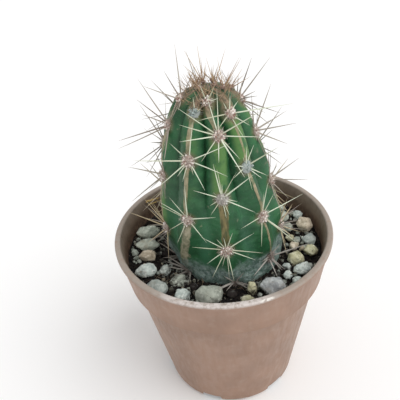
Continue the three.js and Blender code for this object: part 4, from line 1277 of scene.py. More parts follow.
def scatter_tree(name, shape, sizes, seed, material):
    """Scatters small uneven copies of a shape on the upper faces of a mesh."""
    shapes = Shapes(name)
    density = shapes.size("Density", 1.0)
    ground = shapes.inlet.outputs["Geometry"]
    chosen = shapes.named("open")
    settings = {"distribute_method": "RANDOM"}
    inputs = {"Mesh": ground, "Density": shapes.times(density, chosen), "Seed": seed}
    points = shapes.add("GeometryNodeDistributePointsOnFaces", settings, inputs)
    shade = shapes.random(0.0, 1.0, seed + 1)
    marked = shapes.keep(points["Points"], "shade", shade)
    turn = shapes.random((0, 0, 0), (math.tau, math.tau, math.tau), seed + 2, "FLOAT_VECTOR")
    rotation = shapes.add("FunctionNodeEulerToRotation", None, {0: turn})[0]
    scale = shapes.random(*sizes, seed + 3, "FLOAT_VECTOR")
    copies = shapes.copies(marked, shape(shapes), rotation, scale)
    shapes.end(shapes.moved(copies, shapes.waver(*SCATTER_WAVER)), material)
    return shapes


def crumb_shape(shapes):
    return shapes.add("GeometryNodeMeshIcoSphere", None, {"Radius": MM, "Subdivisions": 1})[0]


def fibre_shape(shapes):
    return shapes.cone(4, 5, 0.4 * MM, MM, MM)


def open_ground(soil):
    """Marks the soil's top where nothing stands on it, for what is scattered there."""
    wide = inner_radius(SOIL_LEVEL) - OPEN_OFF_WALL
    marks = []
    for vertex in soil.data.vertices:
        x, y, z = vertex.co / MM
        off_stem = math.hypot(x - STEM_FOOT, y) > OPEN_FROM_STEM
        marks.append(float(z > SOIL_LEVEL - OPEN_DEPTH and math.hypot(x, y) < wide and off_stem))
    store(soil, "open", marks)


def settle_loose(loose):
    """Keeps scattered bits inside the pot and close over the soil."""
    wide = (inner_radius(SOIL_LEVEL) - LOOSE_OFF_WALL) * MM
    for vertex in loose.data.vertices:
        high = (soil_height(*(vertex.co.xy / MM)) + LOOSE_HEIGHT) * MM
        distance = vertex.co.xy.length
        if distance > wide:
            vertex.co.xy *= wide / distance
        vertex.co.z = min(vertex.co.z, high)
    smooth(loose, 50)


def make_soil(settings):
    soil = mesh_object("peat_bed", *soil_mesh())
    outward(soil)
    open_ground(soil)
    soil.data.materials.append(peat())
    smooth(soil, 60)
    scattered = [
        ("peat_crumbs", crumb_shape, CRUMB_SIZES, CRUMB_SEED, crumb_peat(), settings.crumbs),
        ("peat_fibres", fibre_shape, FIBRE_SIZES, FIBRE_SEED, dry_root(), settings.fibres),
    ]
    for name, shape, sizes, seed, material, density in scattered:
        ground = show(bpy.data.objects.new(name, soil.data.copy()))
        loose = scatter_tree(name, shape, sizes, seed, material).grow(ground, density=density)
        settle_loose(loose)
        finished(loose, "soil")
    finished(soil, "soil", "soil")


# Dry straw caught against the wall, as the azimuth and height of both ends and a width
STRAWS = [
    ((-125, 47.3), (-137, 45.8), 1.0), ((-126, 46), (-137, 44.9), 0.8),
    ((-127.7, 47.2), (-128.4, 45.4), 0.55), ((-134, 46.4), (-134.6, 44.8), 0.55),
]
STRAW_OFF_WALL = 0.45


def straw_coat():
    """Bright dry straw."""
    paint = Finish("straw_coat", Roughness=0.6, Specular_IOR_Level=0.3)
    paint.colour(paint.mix(paint.band(paint.noise(0.7, 3), 0.35, 0.65), tint("a98a4c"), tint("d9bd7f")))
    return paint.material


def on_wall(azimuth, height):
    """A place just inside the wall."""
    return Vector((*polar(inner_radius(height) - STRAW_OFF_WALL, math.radians(azimuth)), height))


def make_straw(settings):
    rows = []
    for *ends, width in STRAWS:
        start, end = (on_wall(*place) for place in ends)
        rows.append({
            "place": start, "aim": (end - start).normalized(), "bow": (0, 0, 0),
            "reach": (end - start).length * MM, "girth": width,
        })
    points = marked_points("caught_straw", rows)
    straw = spine_tree(straw_coat()).grow(points, girth=settings.straw_radius * MM)
    smooth(straw, 60)
    finished(straw, "soil")


# Stones

# Longest edge of a stone's mesh as a share of its size and in millimetres, and how often it is halved
STONE_GRAIN = 0.075
FINEST_EDGE = 0.3
STONE_CUTS = 4

# Faces broken off each stone, and their depth as a least share of its size and what is drawn above it
STONE_BREAKS = 6
BREAK_DEPTH = (0.05, 0.1)
STONE_SEED = 640
STONE_BEVEL = 0.02

# Swells, facets and pits of a stone's face, as waves to a millimetre and their height
STONE_SWELLS = (0.5, 0.2)
STONE_FACETS = (0.62, 0.14)
STONE_PITS = (1.9, 0.15)
FACET_MIDDLE = 0.45
STONE_SWOLLEN = 0.06
STONE_SMOOTHING = 0.25

# How dull the darker stones are, and which ones are darkened with soil colour, in part as painted shade where
# they lie in shadow
DULL_STONES = {"stone_08": 0.38, "stone_06": 0.4, "stone_10": 0.25, "stone_02": 0.12, "stone_18": 0.3}
SOILED_AND_SHADED_STONES = ("stone_28", "stone_32", "stone_37", "stone_39", "stone_43", "stone_44")

# Draws of the chips, and how their size falls from the first to the last
CHIP_SEED = 58
CHIP_TRIES = 1500
BIGGEST_CHIP = 2.1
SMALLEST_CHIP = 0.5
CHIP_POWER = 0.6

# Where chips may lie: from the pot's middle and from the stem's foot, and off the wall with their middle
# and with their rim
CHIP_FROM = 13
CHIP_FROM_STEM = 13.7
CHIP_OFF_WALL = 0.6
CHIP_CLEAR_OF_WALL = 0.2

# How close two chips may come, how high a chip's middle lies, and the share kept away from stones
CHIP_OVERLAP = 0.42
CHIP_RAISED = 0.22
FREE_CHIP_SHARE = 0.25

# How far a chip is turned about each axis, its least and greatest scale, and the waves that shake its shape
CHIP_TURN = (0.7, 0.7, math.tau)
CHIP_SCALES = ((0.9, 0.75, 0.6), (1.2, 1.0, 0.85))
CHIP_WAVE = 1.3

# Soil left bare of chips, as (x, y, radius)
BARE_SOIL = ((0.6, -16.6, 3.6), (-18.5, 14.5, 4))

# A chip closer than this to a stone's rim, in millimetres, is always kept
BESIDE_STONE = 1.5


def stone_slots():
    """The material slot of each node of the frame."""
    return {row["node"]: row["material_slot"] for row in frame["record"]["subparts"]}


def broken(bm, draws):
    """Breaks small flat faces off a stone's corners."""
    for _ in range(STONE_BREAKS):
        out = draws.direction().normalized()
        reaches = [vertex.co.dot(out) for vertex in bm.verts]
        depth = (max(reaches) - min(reaches)) * (BREAK_DEPTH[0] + BREAK_DEPTH[1] * draws.next())
        cut_at = out * (max(reaches) - depth)
        whole = [*bm.verts, *bm.edges, *bm.faces]
        made = bmesh.ops.bisect_plane(
            bm, geom=whole, dist=STONE_DOUBLED, plane_co=cut_at, plane_no=out, clear_outer=True)
        rim = [part for part in made["geom_cut"] if isinstance(part, bmesh.types.BMEdge)]
        bmesh.ops.holes_fill(bm, edges=rim, sides=0)


def rough_stone(node, name, material):
    """A chipped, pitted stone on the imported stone's own block shape."""
    bm = bmesh.new()
    bm.from_mesh(frame["nodes"][node].data)
    bmesh.ops.remove_doubles(bm, verts=bm.verts, dist=STONE_DOUBLED)
    broken(bm, Draws(STONE_SEED + int(node.split("_")[1])))
    low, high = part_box(node)
    size = max(high - low)
    bmesh.ops.bevel(bm, geom=bm.edges, offset=STONE_BEVEL * size, segments=1, affect="EDGES")
    fine = max(STONE_GRAIN * size, FINEST_EDGE * MM)
    for _ in range(STONE_CUTS):
        bmesh.ops.triangulate(bm, faces=bm.faces)
        long = [edge for edge in bm.edges if edge.calc_length() > fine]
        bmesh.ops.subdivide_edges(bm, edges=long, cuts=1, use_grid_fill=True)
    bmesh.ops.triangulate(bm, faces=bm.faces)
    bmesh.ops.smooth_vert(
        bm, verts=bm.verts, factor=STONE_SMOOTHING, use_axis_x=True, use_axis_y=True, use_axis_z=True)
    bm.normal_update()
    moves = []
    for vertex in bm.verts:
        place = vertex.co / MM
        broad = STONE_SWELLS[1] * noise.noise(place * STONE_SWELLS[0])
        faceted = STONE_FACETS[1] * (noise.voronoi(place * STONE_FACETS[0])[0][0] - FACET_MIDDLE)
        pitted = STONE_PITS[1] * noise.fractal(place * STONE_PITS[0], *FRACTAL, 3)
        moves.append(vertex.normal * (broad + faceted + pitted + STONE_SWOLLEN) * MM)
    for vertex, move in zip(bm.verts, moves):
        vertex.co += move
    bmesh.ops.recalc_face_normals(bm, faces=bm.faces)
    mesh = bpy.data.meshes.new(name)
    bm.to_mesh(mesh)
    bm.free()
    stone = show(bpy.data.objects.new(name, mesh))
    count = len(mesh.vertices)
    store(stone, "soiled", [float(node in SOILED_AND_SHADED_STONES)] * count)
    store(stone, "dull", [DULL_STONES.get(node, 0.0)] * count)
    stone.data.materials.append(material)
    smooth(stone, 27)
    return stone


def chip_places():
    """Places for chips on the open soil, as (x, y, size) in millimetres, big ones first."""
    stones = []
    for node in stone_slots():
        if node.startswith("stone_"):
            low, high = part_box(node)
            middle, spread = (low + high) / 2 / MM, (high - low) / MM
            stones.append((middle.x, middle.y, (spread.x + spread.y) / 2))
    draws = Draws(CHIP_SEED)
    wall = inner_radius(SOIL_LEVEL)
    chips = []
    for i in range(CHIP_TRIES):
        size = BIGGEST_CHIP + (SMALLEST_CHIP - BIGGEST_CHIP) * (i / CHIP_TRIES) ** CHIP_POWER
        turn = 2 * math.pi * draws.next()
        distance = CHIP_FROM + draws.next() * (wall - (CHIP_FROM + CHIP_OFF_WALL))
        x, y = polar(distance, turn)
        if math.hypot(x - STEM_FOOT, y) < CHIP_FROM_STEM + size / 2:
            continue
        if distance > wall - CHIP_CLEAR_OF_WALL - size / 2:
            continue
        if any(math.hypot(x - a, y - b) < CHIP_OVERLAP * (size + wide) for a, b, wide in stones + chips):
            continue
        beside = any(math.hypot(x - a, y - b) < (size + wide) / 2 + BESIDE_STONE for a, b, wide in stones)
        if beside or draws.next() < FREE_CHIP_SHARE:
            chips.append((x, y, size))
    return [chip for chip in chips if not any(math.dist(chip[:2], bare[:2]) < bare[2] for bare in BARE_SOIL)]


def chip_tree(material):
    """Lays an uneven chip on each point, from the point's own size."""
    shapes = Shapes("chips")
    roughness = shapes.size("Roughness", 0.5 * MM)
    points = shapes.keep(shapes.inlet.outputs["Geometry"], "shade", shapes.random(0.0, 1.0, 31))
    ball = shapes.add("GeometryNodeMeshUVSphere", None, {"Segments": 7, "Rings": 5, "Radius": 0.5})[0]
    turn = shapes.random((0, 0, 0), CHIP_TURN, 32, "FLOAT_VECTOR")
    rotation = shapes.add("FunctionNodeEulerToRotation", None, {0: turn})[0]
    uneven = shapes.random(*CHIP_SCALES, 33, "FLOAT_VECTOR")
    copies = shapes.copies(points, ball, rotation, shapes.scaled(uneven, shapes.named("size")))
    shaken = shapes.scaled(shapes.noise_vector(1 / (CHIP_WAVE * MM)), roughness)
    shapes.end(shapes.moved(copies, shaken), material)
    return shapes


def make_stones(settings):
    slots = stone_slots()
    materials = {slot: gravel(slot) for slot in STONE_COLOURS}
    for node in sorted(name for name in frame["nodes"] if name.startswith("stone_")):
        stone = rough_stone(node, node.replace("stone", "gravel"), materials[slots[node]])
        finished(stone, slots[node], node)
    rows = []
    for x, y, size in chip_places():
        rows.append({"place": (x, y, soil_height(x, y) + CHIP_RAISED * size), "size": size * MM})
    points = marked_points("gravel_chips", rows)
    laid = chip_tree(mixed_chips()).grow(points, roughness=settings.chip_roughness * MM)
    smooth(laid, 25)
    finished(laid, "stone_grey")


# Cactus

def stem_mesh(per_rib, rows):
    """Points and faces of the ribbed skin, from below the soil up to the tip."""
    heights = np.concatenate([np.linspace(SUNK_FOOT, 0, SUNK_ROWS)[:-1], row_heights(rows)[:-1]])
    columns = RIB_COUNT * per_rib
    points = np.stack([skin(column / per_rib, heights) for column in range(columns)], 1).reshape(-1, 3)
    crest = np.tile([abs(2 * ((c / per_rib) % 1) - 1) for c in range(columns)], len(heights))
    tall = np.repeat(heights, columns)
    faces = []
    for row in range(len(heights) - 1):
        first = row * columns
        for column in range(columns):
            after = (column + 1) % columns
            faces.append((first + column, first + after, first + columns + after, first + columns + column))
    bottom, top = len(points), len(points) + 1
    last = (len(heights) - 1) * columns
    faces += [(bottom, (c + 1) % columns, c) for c in range(columns)]
    faces += [(top, last + c, last + (c + 1) % columns) for c in range(columns)]
    ends = stem_centre(np.array([SUNK_FOOT, STEM_HEIGHT]))
    points = np.concatenate([points, ends])
    crest = np.concatenate([crest, [0, 1]])
    tall = np.concatenate([tall, [SUNK_FOOT, STEM_HEIGHT]])
    return points, faces, crest, tall


# Rounded end of each rib below the tip
KNUCKLE = 0.55
KNUCKLE_HEIGHT = 43.4
KNUCKLE_REACH = 1.1
KNUCKLE_POWER = 1.5

# Swells, ripples and corky foot of the skin, with their height last
SKIN_SWELLS = (0.22, 0.22)
SKIN_RIPPLES = (0.5, 0.5, 1.4, 0.07)
SKIN_CORK = (1.3, 0.22)
SKIN_SUNK = 0.08
CORKY_BELOW = (4.5, 1)


def relief(place, crest, height):
    """How far the living skin stands off the plain ribbed form, in millimetres."""
    across, deep, up, high = SKIN_RIPPLES
    swell = SKIN_SWELLS[1] * noise.noise(place * SKIN_SWELLS[0])
    ripple = high * noise.noise(Vector((place.x * across, place.y * deep, place.z * up)))
    cork = SKIN_CORK[1] * noise.fractal(place * SKIN_CORK[0], *FRACTAL, 3)
    cork *= float(smoothstep(height, *CORKY_BELOW))
    knuckle = KNUCKLE * crest ** KNUCKLE_POWER * math.exp(-((height - KNUCKLE_HEIGHT) / KNUCKLE_REACH) ** 2)
    return swell + ripple + cork + knuckle - SKIN_SUNK


# Marks along the crests, as (rib, low height, high height, half width at the low end and at the high end)
TAN_MARKS = [
    (9, 19.4, 33.6, 0.6, 0.5), (9, 33.6, 43.5, 0.5, 0.6), (1, 17.5, 30.7, 0.45, 0.45),
    (1, 30.7, 42, 0.3, 0.3), (0, 39.5, 44.6, 0.6, 0.6), (8, 27.2, 38.8, 0.6, 0.8), (8, 38.8, 44.6, 0.7, 0.6),
    (8, 11.3, 27.2, 0.45, 0.5), (2, 8.9, 35.2, 0.4, 0.35), (1, 4.9, 17.5, 0.35, 0.35), (1, 42, 45, 0.4, 0.4),
    (9, 43.5, 45, 0.5, 0.4), (3, 15, 44, 0.4, 0.5), (4, 8, 44, 0.4, 0.5), (5, 14, 44, 0.4, 0.5),
    (6, 12, 44, 0.4, 0.5), (7, 6, 44, 0.4, 0.5), (2, 35.2, 44, 0.35, 0.4),
]
RUST_MARKS = [(0, 13.6, 24.4, 0.85, 1), (5, 2, 13, 1, 0.8), (2, 2, 8, 1, 0.8)]
CORK_MARKS = [(9, 2, 18.2, 1.7, 1), (7, 1, 6, 2, 1), (4, 1, 8, 1.6, 1)]
SCURF_MARKS = [
    (8, -2, 9, 3.4, 1.6), (1, -2, 6.5, 8, 7), (2, -2, 7, 4.5, 3), (0, -2, 3.2, 8, 7), (9, -2, 4, 6, 5),
    (5, -2, 4, 4, 3), (6, -2, 6, 4, 2),
]
FRESH_MARKS = [(0, 26, 38, 1.9, 1.9), (1, 31.5, 41, 2.2, 1.6), (8, 14, 26, 1.6, 1.2), (6, 28, 42, 2, 1.5)]

MARKS = {"tan": TAN_MARKS, "rust": RUST_MARKS, "cork": CORK_MARKS, "scurf": SCURF_MARKS, "fresh": FRESH_MARKS}

# How far a mark fades past its ends, and between which shares of its half width it fades aside
MARK_ENDS = 0.6
MARK_SIDES = (0.55, 1.45)


def marked(marks, rib, aside, height):
    """How strongly each point of the skin is marked, from 0 to 1."""
    strength = np.zeros(len(height))
    for which, low, high, low_width, high_width in marks:
        share = np.clip((height - low) / (high - low), 0, 1)
        width = low_width + (high_width - low_width) * share
        begun, ended = (smoothstep(height, end - MARK_ENDS, end + MARK_ENDS) for end in (low, high))
        across = 1 - smoothstep(aside / width, *MARK_SIDES)
        strength = np.maximum(strength, np.where(rib == which, begun * (1 - ended) * across, 0))
    return strength


def make_stem(settings):
    points, faces, crest, tall = stem_mesh(settings.per_rib, settings.rows)
    stem = mesh_object("ribbed_stem", points, faces)
    outward(stem)
    if len(stem.data.vertices) != len(points):
        raise RuntimeError("the stem's skin has doubled points, so its marks would slip")
    normals = [vertex.normal.copy() for vertex in stem.data.vertices]
    for vertex, normal, level, height in zip(stem.data.vertices, normals, crest, tall):
        vertex.co += normal * relief(vertex.co / MM, level, height) * MM
    centres = np.array([areole["origin"] for areole in rib_areoles()])
    nearest = np.min(np.linalg.norm(points[:, None, :] - centres[None, :, :], axis=2), axis=1)
    columns = RIB_COUNT * settings.per_rib
    phase = np.arange(len(points)) % columns / settings.per_rib
    rib = np.round(phase).astype(int) % RIB_COUNT
    aside = (1 - crest) / 2 * (2 * math.pi / RIB_COUNT) * crest_radius(tall)
    values = {"crest": crest, "height": tall, "areole": nearest}
    values.update((name, marked(marks, rib, aside, tall)) for name, marks in MARKS.items())
    for name, value in values.items():
        store(stem, name, value)
    stem.data.materials.append(green_skin(settings))
    smooth(stem, 70)
    finished(stem, "cactus", "cactus")


# Fine bristles tangled over the young areoles: how far below the tip they begin and end, how they lift,
# and their least and greatest length
BRISTLES = 110
BRISTLE_SEED = 417
BRISTLE_TOP = 0.2
BRISTLE_DROP = 3.2
BRISTLE_LIFT = (0.3, 0.4)
BRISTLE_REACH = (1.8, 4.4)
BRISTLE_GIRTH = 0.5


def crown_bristles():
    """Fine young spines that lean every way over the tip."""
    draws = Draws(BRISTLE_SEED)
    rows = []
    for _ in range(BRISTLES):
        phase = RIB_COUNT * draws.next()
        here = areole_frame(phase, STEM_HEIGHT - BRISTLE_TOP - BRISTLE_DROP * draws.next() ** 2)
        lean = Vector((draws.spread(1), draws.spread(1), BRISTLE_LIFT[0] + draws.spread(BRISTLE_LIFT[1])))
        rows.append({
            "root": here["origin"], "direction": (here["out"] + lean).normalized(),
            "reach": BRISTLE_REACH[0] + (BRISTLE_REACH[1] - BRISTLE_REACH[0]) * draws.next(), "thick": False,
            "age": 0, "girth": BRISTLE_GIRTH, "front": facing_front(here["out"]),
        })
    return rows


def spine_rows():
    """Every spine, areole by areole, and then the bristles."""
    rows = []
    for areole in every_areole():
        rows += [spine_row(areole, spine) for spine in areole["spines"]]
    return rows + crown_bristles()


# Share of its girth that a spine loses towards its tip
SPINE_TAPER = 0.9


def spine_tree(material):
    """Grows a bowed, tapered spine on each point, from the point's own marks."""
    shapes = Shapes("spines")
    sides = shapes.count("Sides", 7)
    segments = shapes.count("Segments", 8)
    girth = shapes.size("Girth", 0.2 * MM)
    cone = shapes.cone(sides, segments, 1.0, 1.0, 1.0)
    along = shapes.axes(shapes.position())[2]
    cone = shapes.keep(cone, "along", along)
    taper = shapes.times(shapes.math("POWER", along, 2.0), -SPINE_TAPER)
    slimmer = shapes.vector_math("MULTIPLY", shapes.position(), shapes.vector(taper, taper, 0.0))
    cone = shapes.moved(cone, slimmer)
    thick = shapes.times(girth, shapes.named("girth"))
    scale = shapes.vector(thick, thick, shapes.named("reach"))
    points = shapes.inlet.outputs["Geometry"]
    spines = shapes.copies(points, cone, shapes.aimed(shapes.named("aim", "FLOAT_VECTOR")), scale)
    share = shapes.named("along")
    bow = shapes.scaled(shapes.named("bow", "FLOAT_VECTOR"), shapes.times(share, share))
    spines = shapes.moved(spines, bow)
    shapes.end(spines, material)
    return shapes


# Draws for the spines, with their bow as a share of their length and how much their girth varies
SPINE_SEED = 77
SPINE_BOW = 0.04
GIRTH_SPREAD = 0.12


def make_spines(settings):
    draws = Draws(SPINE_SEED)
    rows = []
    for row in spine_rows():
        direction, reach = row["direction"], row["reach"]
        side = direction.cross(draws.direction()).normalized()
        rows.append({
            "place": row["root"] - direction * SPINE_ROOT,
            "aim": direction,
            "bow": side * reach * draws.spread(SPINE_BOW) * MM,
            "reach": (reach + SPINE_ROOT) * MM,
            "girth": row["girth"] * (1 + draws.spread(GIRTH_SPREAD)),
            "age": row["age"],
            "shade": draws.next(),
            "front": row["front"],
        })
    points = marked_points("spines", rows)
    spines = spine_tree(spine_horn(settings)).grow(points, girth=settings.spine_radius * MM)
    smooth(spines, 60)
    finished(spines, "cactus")


# Draws for the knobs, how far they lie off the skin, their sizes at a stout spine, at a usual one and at an
# unseen one with the dome that these lie on, how much sizes vary, and the size on the tip against the others
KNOB_SEED = 131
KNOB_LIFT = 0.35
STOUT_KNOB = 1.1
USUAL_KNOB = 0.9
UNSEEN_KNOB = 0.75
UNSEEN_DOME = (0.75, 0.25)
KNOB_SPREAD = 0.2
YOUNG_KNOB = 0.35


def knob_tree(material):
    """Swells the root of each spine into a small knob."""
    shapes = Shapes("spine knobs")
    width = shapes.size("Width", 0.4 * MM)
    ball = shapes.add("GeometryNodeMeshUVSphere", None, {"Segments": 8, "Rings": 5, "Radius": 1.0})[0]
    size = shapes.times(width, shapes.named("size"))
    scale = shapes.vector(size, size, shapes.times(size, 2.0))
    aimed = shapes.aimed(shapes.named("aim", "FLOAT_VECTOR"))
    shapes.end(shapes.copies(shapes.inlet.outputs["Geometry"], ball, aimed, scale), material)
    return shapes


def knob(areole, place, aim, size, shade):
    """One knob with its areole's age and greyness."""
    return {
        "place": place, "aim": aim, "size": size, "shade": shade,
        "age": areole["age"], "grey": areole["grey"],
    }


def spine_knobs(areole, draws):
    """A knob at the root of each of an areole's spines."""
    rows = []
    for spine in areole["spines"]:
        row = spine_row(areole, spine)
        width = (STOUT_KNOB if row["thick"] else USUAL_KNOB) + draws.spread(KNOB_SPREAD)
        width *= YOUNG_KNOB if areole["age"] == 0 else 1
        lifted = row["root"] + areole["out"] * KNOB_LIFT
        rows.append(knob(areole, lifted, row["direction"], width, draws.next()))
    return rows


def unseen_knobs(areole, draws, count, radius):
    """Knobs of spines too young to be seen, spread over an areole's felt."""
    rows = []
    for _ in range(count):
        turn = 2 * math.pi * draws.next()
        away = areole["size"] * radius * math.sqrt(draws.next())
        aside = areole["right"] * math.cos(turn) + areole["up"] * math.sin(turn)
        place = areole["origin"] + aside * away + areole["out"] * (UNSEEN_DOME[0] - UNSEEN_DOME[1] * away)
        size = UNSEEN_KNOB + draws.spread(KNOB_SPREAD)
        rows.append(knob(areole, place, (areole["out"] + 0.5 * aside).normalized(), size, draws.next()))
    return rows


def make_knobs(settings):
    draws = Draws(KNOB_SEED)
    rows = []
    for areole in every_areole():
        rows += spine_knobs(areole, draws)
        if areole["age"]:
            rows += unseen_knobs(areole, draws, settings.young_knobs, settings.wool_radius)
    points = marked_points("spine_knobs", rows)
    knobs = knob_tree(spine_knob()).grow(points, width=settings.knob_radius * MM)
    smooth(knobs, 60)
    finished(knobs, "cactus")


# Hairs of the felt, with sizes in millimetres, and how they and the felt waver, as (wave, height)
HAIR_GIRTH = 0.036
HAIR_LENGTH = (0.4, 1.15)
HAIR_ASTRAY = 0.9
FELT_WAVER = (0.55, 0.75)
HAIR_WAVER = (0.5, 0.9)


def wool_tree(material):
    """Grows a felted cushion with loose woolly hairs on each areole."""
    shapes = Shapes("areole wool")
    width = shapes.size("Width", 1.2 * MM)
    density = shapes.size("Density", 1.0)
    points = shapes.inlet.outputs["Geometry"]
    ball = shapes.add("GeometryNodeMeshIcoSphere", None, {"Radius": 1.0, "Subdivisions": 3})[0]
    size = shapes.times(width, shapes.named("size"))
    low = shapes.times(size, 0.5)
    aimed = shapes.aimed(shapes.named("out", "FLOAT_VECTOR"))
    cushions = shapes.copies(points, ball, aimed, shapes.vector(size, size, low))
    cushions = shapes.moved(cushions, shapes.waver(*FELT_WAVER))
    cushions = shapes.keep(cushions, "shade", shapes.random(0.0, 1.0, 5))
    inputs = {"Mesh": cushions, "Density": density, "Seed": 11}
    roots = shapes.add("GeometryNodeDistributePointsOnFaces", {"distribute_method": "RANDOM"}, inputs)
    marked = shapes.keep(roots["Points"], "shade", shapes.random(0.0, 1.0, 12))
    hair = shapes.cone(3, 3, 0.3, 1.0, 1.0)
    hair = shapes.keep(hair, "along", shapes.axes(shapes.position())[2])
    astray = shapes.random((-HAIR_ASTRAY,) * 3, (HAIR_ASTRAY,) * 3, 13, "FLOAT_VECTOR")
    lean = shapes.vector_math("ADD", roots["Normal"], astray)
    length = shapes.random(*(size * MM for size in HAIR_LENGTH), 14)
    scale = shapes.vector(HAIR_GIRTH * MM, HAIR_GIRTH * MM, length)
    hairs = shapes.copies(marked, hair, shapes.aimed(lean), scale)
    share = shapes.named("along")
    hairs = shapes.moved(hairs, shapes.scaled(shapes.waver(*HAIR_WAVER), shapes.times(share, share)))
    shapes.end(shapes.joined(cushions, hairs), material)
    return shapes


def make_wool(settings):
    rows = []
    for areole in every_areole():
        marks = {name: areole[name] for name in ("out", "size", "age", "grey")}
        rows.append({"place": areole["origin"], **marks})
    points = marked_points("areole_wool", rows)
    wool = wool_tree(areole_wool()).grow(points, width=settings.wool_radius * MM, density=settings.hairs)
    smooth(wool, 60)
    finished(wool, "cactus")


# Stage

CAMERA_DISTANCE = 0.130
CAMERA_ELEVATION = 38.17
CAMERA_ROLL = 5.73
CAMERA_LENS = 45.82
SENSOR = 36
CLIP = (0.005, 20)
AIM = (-0.00493, 0, 0.05672)
KEY_FROM = (0.58, -0.25, 0.78)
KEY_SPREAD = 60
KEY_COLOUR = (1, 0.99, 0.98)
FLOOR_SIZE = 6


def make_camera():
    """The photograph's viewpoint: close above the rim, looking down at the front."""
    data = bpy.data.cameras.new("camera")
    data.sensor_width = SENSOR
    data.lens = CAMERA_LENS
    data.clip_start, data.clip_end = CLIP
    camera = show(bpy.data.objects.new("camera", data))
    rise = math.radians(CAMERA_ELEVATION)
    offset = Vector((0, -math.cos(rise), math.sin(rise))) * CAMERA_DISTANCE
    camera.location = offset + Vector((0, 0, POT_HEIGHT * MM))
    aim = (Vector(AIM) - camera.location).to_track_quat("-Z", "Y")
    camera.rotation_mode = "QUATERNION"
    camera.rotation_quaternion = aim @ Quaternion((0, 0, 1), math.radians(-CAMERA_ROLL))
    bpy.context.scene.camera = camera


def soft_sun(name, direction, spread, power, colour):
    """An even light from one side of the sky, as wide as the spread in degrees."""
    data = bpy.data.lights.new(name, "SUN")
    data.angle = math.radians(spread)
    data.energy = power
    data.color = colour
    light = show(bpy.data.objects.new(name, data))
    light.location = Vector(direction).normalized() * 0.5
    light.rotation_mode = "QUATERNION"
    light.rotation_quaternion = (-Vector(direction)).to_track_quat("-Z", "Y")


def make_stage(settings):
    bpy.ops.mesh.primitive_grid_add(x_subdivisions=8, y_subdivisions=8, size=FLOOR_SIZE)
    floor = bpy.context.object
    floor.name = "floor"
    floor.data.materials.append(pale_ground(settings))
    world = bpy.data.worlds.new("studio")
    bpy.context.scene.world = world
    world.use_nodes = True
    sky = world.node_tree.nodes["Background"]
    sky.inputs["Color"].default_value = (1, 1, 1, 1)
    sky.inputs["Strength"].default_value = settings.sky
    soft_sun("key", KEY_FROM, KEY_SPREAD, settings.key, KEY_COLOUR)
    make_camera()
    bpy.context.scene.view_settings.view_transform = "Standard"


# Settings

def size(name, description, default, low, high):
    return FloatProperty(name=name, description=description, default=default, min=low, max=high)


def count(name, description, default, low, high):
    return IntProperty(name=name, description=description, default=default, min=low, max=high)


def colour(name, description, hexadecimal):
    return FloatVectorProperty(
        name=name, description=description, subtype="COLOR", default=tint(hexadecimal), min=0, max=1)


class PotSettings(bpy.types.PropertyGroup):
    sides: count("Sides", "Sides of the turned pot", 180, 24, 360)
    colour: colour("Plastic", "Colour of the moulded plastic", "9e806e")
    # Darker colour of the wall inside, painted as the shade within the pot.
    shaded_inner_colour: colour("Inner plastic", "Colour of the wall inside", "7b6555")
    # Paler colour of the lip, painted as a highlight along the rim.
    lit_lip_colour: colour("Lip", "Colour of the worn lip", "a1968c")


class SoilSettings(bpy.types.PropertyGroup):
    crumbs: size("Crumbs", "Crumbs of peat to a square metre", 2.2e6, 0, 1e7)
    fibres: size("Fibres", "Peat fibres to a square metre", 1.3e5, 0, 1e6)
    straw_radius: size("Straw radius", "Radius of the widest straw in millimetres", 0.27, 0.05, 1)


class GravelSettings(bpy.types.PropertyGroup):
    chip_roughness: size("Chip roughness", "How uneven the small chips are, in millimetres", 0.8, 0, 2)


class CactusSettings(bpy.types.PropertyGroup):
    per_rib: count("Steps to a rib", "Columns of the skin to a rib", 32, 8, 48)
    rows: count("Rows", "Rows of the skin up the stem", 170, 30, 240)
    colour: colour("Green", "Colour of the skin", "27603a")
    deep_colour: colour("Deep green", "Colour of the skin's darker clouds", "1b4a2b")
    young_colour: colour("Young green", "Colour of the young skin near the tip", "5b8343")
    crest_colour: colour("Crest", "Colour of the dry line on the ribs", "b3a487")
    # Front spines are painted pale as lit ones, and side spines darker as painted shade.
    spine_colour: colour("Front spines", "Colour of the spines in front", "e2e9d3")
    shaded_side_colour: colour("Side spines", "Colour of the spines at the sides and behind", "b3aa9d")
    spine_radius: size("Spine radius", "Root radius of a spine in millimetres", 0.135, 0.05, 0.5)
    knob_radius: size("Knob radius", "Radius of a spine's swollen base in millimetres", 0.255, 0.1, 1)
    young_knobs: count("Young knobs", "Bases of unseen spines", 9, 0, 30)
    wool_radius: size("Wool radius", "Radius of an areole's felt in millimetres", 1.4, 0.3, 3)
    hairs: size("Hairs", "Woolly hairs to a square metre of felt", 7e6, 0, 5e7)


class StageSettings(bpy.types.PropertyGroup):
    floor_colour: colour("Floor", "Colour of the floor", "fafafa")
    sky: size("Sky", "Strength of the even light all round", 0.74, 0, 5)
    key: size("Key light", "Strength of the light from the upper right", 1.52, 0, 100)


# Operators

class BuildStage(bpy.types.Operator):
    """Makes the floor, the lights and the camera"""
    bl_idname = "cactus.stage"
    bl_label = "Stage"

    def execute(self, context):
        make_stage(context.scene.cactus_stage)
        return {"FINISHED"}


class BuildPot(bpy.types.Operator):
    """Makes the moulded pot with its drain slots"""
    bl_idname = "cactus.pot"
    bl_label = "Pot"

    def execute(self, context):
        make_pot(context.scene.cactus_pot)
        return {"FINISHED"}


class BuildSoil(bpy.types.Operator):
    """Makes the peat with its crumbs and fibres"""
    bl_idname = "cactus.soil"
    bl_label = "Soil"

    def execute(self, context):
        make_soil(context.scene.cactus_soil)
        return {"FINISHED"}


class BuildStraw(bpy.types.Operator):
    """Lays dry straw against the wall"""
    bl_idname = "cactus.straw"
    bl_label = "Straw"

    def execute(self, context):
        make_straw(context.scene.cactus_soil)
        return {"FINISHED"}


